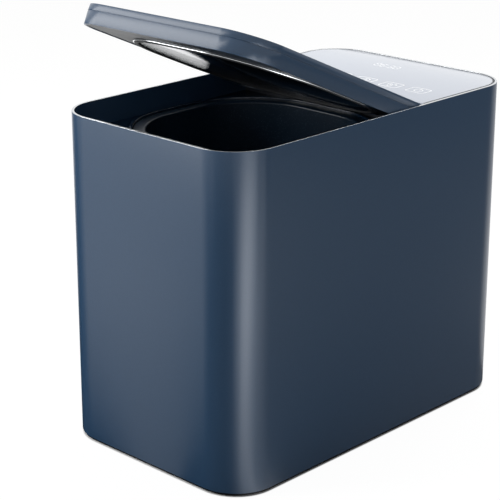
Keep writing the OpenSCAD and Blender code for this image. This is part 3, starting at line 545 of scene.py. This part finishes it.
rim_grow_mm = 8.5
bucket_low, bucket_high = [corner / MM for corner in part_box("bucket")]
bucket_w = bucket_high.x - rim_grow_mm
bucket_d = (bucket_high.y - bucket_low.y) / 2 - rim_grow_mm
bucket_y = (bucket_high.y + bucket_low.y) / 2
bucket_r = 60
print("bucket, in mm:", round(2 * bucket_w, 1), "x", round(2 * bucket_d, 1), "at y",
      round(bucket_y, 2))


def bucket_ring(bm, grow, z):
    """Edges of the bucket's outline, grown by this much, at a height in millimetres."""
    return outline(bm, bucket_w + grow, bucket_d + grow, bucket_y, bucket_r + grow, z)


# %% Profile of the bucket's wall
def arc(centre, radius, start, end, steps):
    """Points of an arc in the profile's plane; angles in degrees."""
    turns = [math.radians(start + (end - start) * i / steps) for i in range(steps + 1)]
    return [(centre[0] + radius * math.cos(t), centre[1] + radius * math.sin(t)) for t in turns]


wall_mm = 1.6
floor_r_mm = 8
slope_mm = 0.05
roll_r_mm = 0.8
bend_steps, lead_in_steps = 8, 6
floor_z = bucket_low.z
rim_z = bucket_high.z - wall_mm
inside = arc((-floor_r_mm, floor_z + floor_r_mm), floor_r_mm - wall_mm, -90, 0,
             bend_steps)
outside = arc((-floor_r_mm, floor_z + floor_r_mm), floor_r_mm, 0, -90, bend_steps)
roll = arc((rim_grow_mm - roll_r_mm, rim_z + roll_r_mm), roll_r_mm - slope_mm, 90, -90,
           bend_steps)
lead_in = arc((0, rim_z), wall_mm, 180, 90, lead_in_steps)
profile = inside + lead_in + roll + [(0, rim_z)] + outside
print("wall profile:", len(profile), "steps from floor to rim and back")

# %% [markdown]
# In the middle of the floor a hollow boss holds the shaft's bush. Its profile is a few steps
# of a circle, with as many points as the wall's outlines, so the two are bridged as well.

# %% Boss and bucket
boss_r_mm, bush_r_mm, boss_h_mm = 12, 9, 10
boss_foot_mm, boss_edge_mm = 1.5, 0.8
boss = [(boss_r_mm + boss_foot_mm, wall_mm + slope_mm), (boss_r_mm, wall_mm + boss_foot_mm),
        (boss_r_mm, wall_mm + boss_h_mm - boss_edge_mm),
        (boss_r_mm - boss_edge_mm, wall_mm + boss_h_mm),
        (bush_r_mm, wall_mm + boss_h_mm - slope_mm), (bush_r_mm, slope_mm)]


def circle_ring(bm, radius, z, points):
    """Edges of a level circle round the stirrer's axis, in millimetres."""
    made = bmesh.ops.create_circle(bm, cap_ends=False, radius=radius * MM, segments=points,
                                   matrix=Matrix.Translation((0, bucket_y * MM, z * MM)))
    return list({e for v in made["verts"] for e in v.link_edges})


def bucket_piece():
    bm = bmesh.new()
    rings = [bucket_ring(bm, grow, z) for grow, z in profile]
    rings = [circle_ring(bm, r, floor_z + z, len(rings[0])) for r, z in reversed(boss)] + rings
    for lower, upper in zip(rings, rings[1:] + rings[:1]):
        bmesh.ops.bridge_loops(bm, edges=lower + upper)
    print("bucket:", len(rings), "outlines,", len(bm.faces), "faces")
    outward(bm)
    return piece("bucket_finished", bm, "bucket", edge_mm=0)


bucket_piece()

# %% [markdown]
# The glass has a black border, which draws the dark line round the panel, and white signs: a
# reading in seven-segment digits and a row of touch keys. Screen ink is a few hundredths of a
# millimetre thick, so each sign is a flat shape with that thickness. Three helpers draw all
# of them: a bar, a curved bar, which is a short edge spun round, and a framed key.

# %% Helpers for printed signs
ink_mm, ink_sink_mm = 0.05, 0.01
curve_steps, frame_corner_steps = 28, 6
panel_low, panel_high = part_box("control_panel")
ink_low = panel_high.z - ink_sink_mm * MM


def bar(bm, x, y, length, width, degrees=0):
    """A flat bar centred at x, y; all in millimetres and degrees."""
    made = bmesh.ops.create_grid(bm, x_segments=1, y_segments=1, size=0.5)["verts"]
    bmesh.ops.scale(bm, verts=made, vec=(length * MM, width * MM, 1))
    bmesh.ops.rotate(bm, verts=made, cent=(0, 0, 0),
                     matrix=Matrix.Rotation(math.radians(degrees), 3, "Z"))
    bmesh.ops.translate(bm, verts=made, vec=(x * MM, y * MM, 0))


def curved_bar(bm, x, y, radius, width, start=0, turn=360):
    """A flat bar bent round x, y, from a start angle through a turn."""
    out = Vector((math.cos(math.radians(start)), math.sin(math.radians(start)), 0))
    middle = Vector((x * MM, y * MM, 0))
    ends = [bmesh.ops.create_vert(bm, co=middle + out * r * MM)["vert"][0]
            for r in (radius - width / 2, radius + width / 2)]
    bmesh.ops.spin(bm, geom=ends + [bm.edges.new(ends)], cent=middle, axis=(0, 0, 1),
                   angle=math.radians(turn), steps=curve_steps, use_merge=turn == 360)


def key_frame(bm, x, y, width, depth, radius, stroke):
    """The outline of a key with rounded corners."""
    before = set(bm.faces)
    made = bmesh.ops.create_grid(bm, x_segments=1, y_segments=1, size=0.5)["verts"]
    bmesh.ops.scale(bm, verts=made, vec=(width * MM, depth * MM, 1))
    bmesh.ops.translate(bm, verts=made, vec=(x * MM, y * MM, 0))
    bmesh.ops.bevel(bm, geom=made, offset=radius * MM, segments=frame_corner_steps,
                    profile=0.5, affect="VERTICES", material=-1)
    inner = [f for f in bm.faces if f not in before]
    bmesh.ops.inset_region(bm, faces=inner, thickness=stroke * MM, use_boundary=True)
    bmesh.ops.delete(bm, geom=inner, context="FACES_ONLY")


print("signs are", ink_mm, "mm thick")

# %% Black border of the glass
border_mm = 1.1
black_print, tree, shader = finish("screen_printed_black", "#15181d", 0.3, IOR=1.5)
ink = grain(tree, shader, size_mm=0.4, depth_mm=0.01, strength=0.2)
shades(tree, shader, ink, linear("#12151a"), linear("#181b20"))


def border_piece():
    """The panel's margin in black ink, without its front side, which meets the lid."""
    bm, border = top_sheet("control_panel", border_mm)
    front = panel_low.y + 2 * border_mm * MM
    middle = [f for f in bm.faces if f not in border or f.calc_center_median().y < front]
    bmesh.ops.delete(bm, geom=middle, context="FACES")
    thicken(bm, ink_low, ink_mm)
    return piece("panel_border", bm, "control_panel", stands_for=False, material=black_print,
                 edge_mm=0)


border_piece()
print("border:", border_mm, "mm wide")

# %% Digits of the reading
segments_of = {"0": "abcdef", "3": "abcdg", "6": "acdefg"}
digit_w, digit_h, digit_stroke, digit_gap = 4.2, 8.4, 1.2, 0.2
reading_x, reading_y, digit_pitch = -8, 130, 6.4
colon_room, colon_rise, colon_dot = 0.8, 1.8, 1.1


def digit(bm, sign, x, y):
    """A seven-segment digit centred at x, y."""
    for segment in segments_of[sign]:
        if segment in "agd":
            height = {"a": 1, "g": 0, "d": -1}[segment] * digit_h / 2
            bar(bm, x, y + height, digit_w - digit_stroke - digit_gap, digit_stroke)
        else:
            side = 1 if segment in "bc" else -1
            height = (1 if segment in "bf" else -1) * digit_h / 4
            bar(bm, x + side * digit_w / 2, y + height, digit_stroke,
                digit_h / 2 - digit_stroke - digit_gap)


def reading(bm, digits):
    """Four digits with a colon in their middle."""
    for i, sign in enumerate(digits):
        side = 1 if i > 1 else -1
        digit(bm, sign, reading_x + (i - 1.5) * digit_pitch + side * colon_room, reading_y)
    for dy in (-colon_rise, colon_rise):
        bar(bm, reading_x, reading_y + dy, colon_dot, colon_dot)


print("digits are", digit_h, "mm high")

# %% [markdown]
# Each key carries a plain sign that any maker might use: power, fan, clock, heat, drop and
# lock. A sign is a list of strokes, each a helper with its place on the key and its sizes.
# The keys stand in a row, from the right of the glass to its left.

# %% Signs on the touch keys
key_stroke = 1.0
key_y, key_w, key_d, key_r = 79, 19, 15, 3
first_key_x, key_pitch = 66, 28
fan_reach, fan_width = 2.2, 1.1
power = [(curved_bar, 0, 0, 3.6, key_stroke, 125, 290), (bar, 0, 3, key_stroke, 4)]
fan = [(curved_bar, 0, 0, fan_width, key_stroke)]
fan += [(curved_bar, fan_reach * math.cos(a), fan_reach * math.sin(a), fan_reach, fan_width,
         math.degrees(a) - 60, 150) for a in [0.5 + i * math.tau / 3 for i in range(3)]]
clock = [(curved_bar, 0, 0, 4.2, key_stroke), (bar, 0, 1.5, key_stroke, 3),
         (bar, 1.6, -0.4, 3.2, key_stroke)]
heat = [(bar, x, 0, key_stroke, 7, 12) for x in (-3, 0, 3)]
drop = [(curved_bar, 0, -1, 3, key_stroke, 130, 280), (bar, -1.7, 2.6, 4.4, key_stroke, 62),
        (bar, 1.7, 2.6, 4.4, key_stroke, -62)]
lock = [(key_frame, 0, -1.2, 7, 5, 1, key_stroke), (curved_bar, 0, 1.6, 2.4, key_stroke, 0, 180)]
key_signs = [power, fan, clock, heat, drop, lock]


def signs_piece():
    bm = bmesh.new()
    for i, strokes in enumerate(key_signs):
        x = first_key_x - i * key_pitch
        key_frame(bm, x, key_y, key_w, key_d, key_r, key_stroke)
        for draw, dx, dy, *rest in strokes:
            draw(bm, x + dx, key_y + dy, *rest)
    reading(bm, "0630")
    thicken(bm, ink_low, ink_mm)
    print("signs:", len(key_signs), "keys and 4 digits,", len(bm.faces), "faces")
    return piece("panel_signs", bm, "control_panel", stands_for=False, material=white_print,
                 edge_mm=0)


signs_piece()

# %% [markdown]
# The rocker's face is folded across its middle. Its upper half carries a bar for on, its
# lower half a ring for off. Both are drawn flat, like the panel's signs, and then laid on
# their halves.

# %% Marks on the rocker
mark_reach_mm, mark_stroke_mm, mark_sink_mm = 4, 0.8, 0.02
mark_bar_mm, mark_ring_mm = 3.4, 1.5


def rocker_marks_piece():
    rocker = cad_copy("power_rocker")
    rocker.normal_update()
    halves = [f for f in rocker.faces if f.normal.y > mostly]
    lower, upper = sorted(halves, key=lambda f: f.calc_center_median().z)
    bm = bmesh.new()
    bar(bm, 0, mark_reach_mm, mark_stroke_mm, mark_bar_mm)
    curved_bar(bm, 0, -mark_reach_mm, mark_ring_mm, mark_stroke_mm)
    thicken(bm, -mark_sink_mm * MM, ink_mm)
    marks = {1: [v for v in bm.verts if v.co.y > 0], -1: [v for v in bm.verts if v.co.y < 0]}
    for side, half in ((1, upper), (-1, lower)):
        place = (Matrix.Translation(half.calc_center_median())
                 @ half.normal.to_track_quat("Z", "Y").to_matrix().to_4x4()
                 @ Matrix.Translation((0, -side * mark_reach_mm * MM, 0)))
        bmesh.ops.transform(bm, verts=marks[side], matrix=place)
    rocker.free()
    return piece("rocker_marks", bm, "power_rocker", stands_for=False, material=white_print,
                 edge_mm=0)


rocker_marks_piece()
print("rocker: a bar above and a ring below")

# %% [markdown]
# The mains inlet has three blades with rounded ends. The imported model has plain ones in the
# same place, so these are a little larger and their metal covers them.

# %% Inlet blades
inlet_low, inlet_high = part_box("inlet_socket")
inlet = (inlet_low + inlet_high) / 2
blade_w_mm, blade_l_mm, blade_h_mm = 2, 12.5, 4
blade_grow_mm, blade_back_mm, blade_edge_mm = 0.25, 12, 0.6
blade_places_mm = ((0, 7), (0, -7), (3.5, 0))


def blades_piece():
    bm = bmesh.new()
    for dx, dz in blade_places_mm:
        made = bmesh.ops.create_cube(bm, size=1)["verts"]
        bmesh.ops.scale(bm, verts=made, vec=((blade_w_mm + blade_grow_mm) * MM, blade_l_mm * MM,
                                             (blade_h_mm + blade_grow_mm) * MM))
        bmesh.ops.translate(bm, verts=made, vec=(inlet.x + dx * MM,
                                                 inlet_high.y - blade_back_mm * MM,
                                                 inlet.z + dz * MM))
    return piece("inlet_blades", bm, "inlet_socket", stands_for=False, material=ground_steel,
                 edge_mm=blade_edge_mm, segments=3)


blades_piece()
print("blades:", len(blade_places_mm))

# %% [markdown]
# Activated carbon in a filter is a rigid open foam or pressed flakes, matt black with deep
# cracks. Its block is a box cut into fine squares, and each point is moved inwards where it
# is near a border between the cells of a Voronoi pattern. So the cracks are real geometry.

# %% Carbon block
crack_mm, cell_mm, square_mm = 2.6, 6.5, 1.5
crack_steepness, ripple_mm, ripple_size_mm = 2.4, 0.3, 1.8


def carbon_piece():
    low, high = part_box("carbon_block")
    bm = bmesh.new()
    bmesh.ops.create_cube(bm, size=1)
    bmesh.ops.scale(bm, verts=bm.verts, vec=high - low)
    for axis in range(3):
        along = [e for e in bm.edges
                 if abs((e.verts[1].co - e.verts[0].co).normalized()[axis]) > mostly]
        bmesh.ops.subdivide_edges(bm, edges=along, use_grid_fill=True,
                                  cuts=int((high - low)[axis] / (square_mm * MM)))
    bmesh.ops.translate(bm, verts=bm.verts, vec=(low + high) / 2)
    bm.normal_update()
    for v in bm.verts:
        cells = noise.voronoi(v.co / (cell_mm * MM))[0]
        crack = 1 - min(1, crack_steepness * (cells[1] - cells[0]))
        ripple = ripple_mm * (1 + noise.noise(v.co / (ripple_size_mm * MM)))
        v.co -= v.normal * (crack * crack_mm + ripple) * MM
    print("carbon block:", len(bm.faces), "faces")
    return piece("carbon_block_finished", bm, "carbon_block", edge_mm=0)


carbon_piece()

# %% [markdown]
# The photograph is taken from the front right, a little above, with a long lens. The camera
# turns slightly away from the middle of the object to frame it as the photo does. Its
# distance is counted in depths of the body, and its lens in pixels of the photo's width.

# %% Camera
view_azimuth, view_elevation = 42.32, 19.08
turned_azimuth, turned_elevation = 1.46, -0.11
body_depth_mm, distance_in_depths = 330, 4.19
view_distance = distance_in_depths * body_depth_mm * MM
aim_height = 135 * MM
focal_px, photo_px, sensor_mm = 1675, 500, 36
lens_mm = focal_px / photo_px * sensor_mm


def backwards(azimuth, elevation):
    """Unit vector from the object towards a camera at this azimuth and elevation."""
    a, e = math.radians(azimuth), math.radians(elevation)
    return Vector((math.sin(a) * math.cos(e), -math.cos(a) * math.cos(e), math.sin(e)))


camera = bpy.data.objects.new("camera", bpy.data.cameras.new("camera"))
bpy.context.scene.collection.objects.link(camera)
camera.data.lens = lens_mm
camera.data.sensor_width = sensor_mm
aim = Vector((0, 0, aim_height))
camera.location = aim + backwards(view_azimuth, view_elevation) * view_distance
look = -backwards(view_azimuth + turned_azimuth, view_elevation + turned_elevation)
camera.rotation_euler = look.to_track_quat("-Z", "Y").to_euler()
bpy.context.scene.camera = camera
print("camera at", [round(v, 3) for v in camera.location], "lens", round(lens_mm, 1))

# %% [markdown]
# One broad softbox at the front left models the form, a fainter one behind and above lights
# the lid and the panel, and the white world fills the rest. Camera, mirror and glass rays see
# plain white, and only what the world lends to matt surfaces is dimmed, so that the
# background stays clean.

# %% Lights and world
def softbox(name, azimuth, elevation, distance, size, watts):
    """A rectangular lamp that faces the machine; distance and size in metres."""
    lamp = bpy.data.lights.new(name, "AREA")
    lamp.shape = "RECTANGLE"
    lamp.size, lamp.size_y = size
    lamp.energy = watts
    made = bpy.data.objects.new(name, lamp)
    bpy.context.scene.collection.objects.link(made)
    away = backwards(azimuth, elevation)
    made.location = aim + away * distance
    made.rotation_euler = away.to_track_quat("Z", "Y").to_euler()
    made.visible_camera = False


softbox("key_softbox", -42, 24, 1.3, (0.9, 0.7), 12)
softbox("top_softbox", 175, 62, 1.2, (0.9, 0.9), 8.5)

world = bpy.data.worlds.new("white_studio")
bpy.context.scene.world = world
world.use_nodes = True
tree = world.node_tree
rays = add(tree, "ShaderNodeLightPath")
seen = add(tree, "ShaderNodeMath", {0: rays.outputs["Is Camera Ray"],
           1: rays.outputs["Is Glossy Ray"]}, operation="MAXIMUM")
seen = add(tree, "ShaderNodeMath", {0: seen.outputs[0], 1: rays.outputs["Is Transmission Ray"]},
           operation="MAXIMUM")
ambient = 0.35
level = add(tree, "ShaderNodeMapRange", {"Value": seen.outputs[0], "To Min": ambient,
            "To Max": 1.0})
tree.links.new(level.outputs["Result"], tree.nodes["Background"].inputs["Strength"])
tree.nodes["Background"].inputs["Color"].default_value = (1, 1, 1, 1)
print("two softboxes; ambient", ambient)

# %% [markdown]
# The floor is white. It shows as plain white to the camera, apart from the object's soft
# shadow, by mixing its real diffuse shading with a plain white glow. Under the machine there
# is no glow, so the gap round its feet stays dark, as the thin black line in the photo does.
# The distance from the machine's outline is that from a rounded rectangle.

# %% Floor
floor_half_m, glow_strength, most_glow = 6, 1.05, 0.9
corner_r_mm, dark_inside_mm, dark_outside_mm = 36, 1.2, 0.2


def scenery(name, bm, material_name):
    """An object of the stage with a new material; returns it and the material's tree."""
    mesh = bpy.data.meshes.new(name)
    bm.to_mesh(mesh)
    bm.free()
    material = bpy.data.materials.new(material_name)
    material.use_nodes = True
    mesh.materials.append(material)
    made = bpy.data.objects.new(name, mesh)
    bpy.context.scene.collection.objects.link(made)
    return made, material.node_tree


floor_bm = bmesh.new()
bmesh.ops.create_grid(floor_bm, x_segments=1, y_segments=1, size=floor_half_m)
floor, tree = scenery("floor", floor_bm, "white_floor")
floor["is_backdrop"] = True
rays = add(tree, "ShaderNodeLightPath")
matt = add(tree, "ShaderNodeBsdfDiffuse", {"Color": linear("#f2f2f2")})
glow = add(tree, "ShaderNodeEmission", {"Color": (1, 1, 1, 1), "Strength": glow_strength})
seen = add(tree, "ShaderNodeMath", {0: rays.outputs["Is Camera Ray"],
           1: rays.outputs["Is Glossy Ray"]}, operation="MAXIMUM")
place = add(tree, "ShaderNodeTexCoord")
inner = cad_high.x - corner_r_mm * MM, -cad_low.y - corner_r_mm * MM, 0
steps = [("ABSOLUTE", None), ("SUBTRACT", inner), ("MAXIMUM", (0, 0, 0)), ("LENGTH", None)]
vector = place.outputs["Object"]
for kind, value in steps:
    inputs = {0: vector} if value is None else {0: vector, 1: value}
    vector = add(tree, "ShaderNodeVectorMath", inputs, operation=kind)
    vector = vector.outputs["Value" if kind == "LENGTH" else "Vector"]
near = add(tree, "ShaderNodeMapRange", {"Value": vector,
           "From Min": (corner_r_mm - dark_inside_mm) * MM,
           "From Max": (corner_r_mm + dark_outside_mm) * MM, "To Max": most_glow})
share = add(tree, "ShaderNodeMath", {0: seen.outputs[0], 1: near.outputs["Result"]},
            operation="MULTIPLY")
mixed = add(tree, "ShaderNodeMixShader", {0: share.outputs[0], 1: matt.outputs[0],
            2: glow.outputs[0]})
tree.links.new(mixed.outputs[0], tree.nodes["Material Output"].inputs["Surface"])
print("floor:", 2 * floor_half_m, "m wide")

# %% [markdown]
# A glossy upright wall, seen from above, mirrors the table at its foot. Photographers steer
# such walls with cards: black velvet beside the near corner paints it a deep navy, and a
# narrow bright strip next to it draws the long highlight. Here all the cards are one disc on
# the floor, centred under the near corner, whose brightness depends on the direction. Behind
# the machine it is bright again, and that part is measured from the rear corner, so that the
# right side stays dark as far as its rear foot. All of it fades towards the near corner, so
# the walls darken towards their foot, as in the photo. Only mirror rays see the disc.

# %% Cards on the table
card_levels = [(-180, 1.0), (-111, 1.0), (-98, 0.0), (-73, 0.0), (-60, 1.02), (-42, 1.02),
               (-30, 0.1), (-22, 0.0), (36, 0.0), (46, 1.2), (58, 4.6), (70, 5.6), (82, 2.8),
               (92, 1.8), (106, 1.1), (116, 0.6), (130, 0.3), (150, 0.2)]
rear_strip_from, rear_strip_to, rear_strip_level = 144, 164, 0.85
full_distance_mm, most_of_full, fade_power = 340, 1.15, 0.5
disc_radius_m, disc_points, disc_lift_mm = 5.5, 96, 0.3


def mirror_rays_only(made):
    """Hides an object from all rays but those that a glossy surface sends out."""
    for kind in ("camera", "diffuse", "shadow", "transmission", "volume_scatter"):
        setattr(made, "visible_" + kind, False)


card_bm = bmesh.new()
bmesh.ops.create_circle(card_bm, cap_ends=True, radius=disc_radius_m, segments=disc_points)
cards, tree = scenery("cards", card_bm, "cards")
cards.location = (cad_high.x - corner_r_mm * MM, cad_low.y + corner_r_mm * MM,
                  disc_lift_mm * MM)
mirror_rays_only(cards)
cards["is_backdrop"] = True
place = add(tree, "ShaderNodeTexCoord")


def azimuth_from(point):
    """Radians from straight ahead of the machine, towards its right, as seen from a point."""
    moved = add(tree, "ShaderNodeVectorMath", {0: place.outputs["Object"], 1: point},
                operation="SUBTRACT")
    parts = add(tree, "ShaderNodeSeparateXYZ", {"Vector": moved.outputs[0]})
    ahead = add(tree, "ShaderNodeMath", {0: parts.outputs["Y"], 1: -1.0}, operation="MULTIPLY")
    turn = add(tree, "ShaderNodeMath", {0: parts.outputs["X"], 1: ahead.outputs[0]},
               operation="ARCTAN2")
    return turn.outputs[0]


# %% Brightness by direction and distance
near_corner = (0, 0, 0)
rear_corner = (0, cad_high.y - cad_low.y - 2 * corner_r_mm * MM, 0)
turn = add(tree, "ShaderNodeMapRange", {"Value": azimuth_from(near_corner), "From Min": -math.pi,
           "From Max": math.pi})
ramp = add(tree, "ShaderNodeValToRGB", {"Fac": turn.outputs["Result"]})
brightest = max(level for _, level in card_levels)
while len(ramp.color_ramp.elements) < len(card_levels):
    ramp.color_ramp.elements.new(1.0)
for stop, (azimuth, level) in zip(ramp.color_ramp.elements, card_levels):
    stop.position = (azimuth + 180) / 360
    stop.color = grey(level / brightest)
from_rear = add(tree, "ShaderNodeMath", {0: azimuth_from(rear_corner)}, operation="ABSOLUTE")
rear = add(tree, "ShaderNodeMapRange", {"Value": from_rear.outputs[0],
           "From Min": math.radians(rear_strip_from), "From Max": math.radians(rear_strip_to),
           "To Max": rear_strip_level})
round_near = add(tree, "ShaderNodeMath", {0: ramp.outputs["Color"], 1: brightest},
                 operation="MULTIPLY")
level = add(tree, "ShaderNodeMath", {0: round_near.outputs[0], 1: rear.outputs["Result"]},
            operation="MAXIMUM")
away = add(tree, "ShaderNodeVectorMath", {0: place.outputs["Object"]}, operation="LENGTH")
part = add(tree, "ShaderNodeMath", {0: away.outputs["Value"], 1: full_distance_mm * MM},
           operation="DIVIDE")
eased = add(tree, "ShaderNodeMath", {0: part.outputs[0], 1: fade_power}, operation="POWER")
fade = add(tree, "ShaderNodeMath", {0: eased.outputs[0], 1: most_of_full}, operation="MINIMUM")
strength = add(tree, "ShaderNodeMath", {0: level.outputs[0], 1: fade.outputs[0]},
               operation="MULTIPLY")
shine = add(tree, "ShaderNodeEmission", {"Color": (1, 1, 1, 1), "Strength": strength.outputs[0]})
tree.links.new(shine.outputs[0], tree.nodes["Material Output"].inputs["Surface"])
print(len(card_levels), "steps of brightness round the near corner")

# %% [markdown]
# The disc ends at the horizon, but a satin wall also mirrors what stands a little above it.
# So one grey card stands upright far to the right, as a strip spun round the near corner. It
# keeps the right side as dark at its top as at its foot.

# %% Upright card
flag_start, flag_turn = 100, 62
flag_distance, flag_height, flag_level, flag_steps = 3.0, 0.75, 0.12, 24
flag_bm = bmesh.new()
flag_ends = [bmesh.ops.create_vert(flag_bm, co=backwards(flag_start, 0) * flag_distance
                                   + Vector((0, 0, z)))["vert"][0] for z in (0, flag_height)]
bmesh.ops.spin(flag_bm, geom=flag_ends + [flag_bm.edges.new(flag_ends)], cent=(0, 0, 0),
               axis=(0, 0, 1), angle=math.radians(flag_turn), steps=flag_steps, use_merge=False)
flag, tree = scenery("upright_card", flag_bm, "upright_card")
flag.location = cards.location
mirror_rays_only(flag)
flag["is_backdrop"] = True
shine = add(tree, "ShaderNodeEmission", {"Color": (1, 1, 1, 1), "Strength": flag_level})
tree.links.new(shine.outputs[0], tree.nodes["Material Output"].inputs["Surface"])
print("upright card from azimuth", flag_start, "to", flag_start + flag_turn)

# %% Finish
bpy.context.scene.view_settings.view_transform = "Standard"
bpy.context.view_layer.update()
low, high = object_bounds()
for side, grown in (("low", cad_low - low), ("high", high - cad_high)):
    print("grown in mm on the", side, "sides:", [round(v / MM, 2) for v in grown])
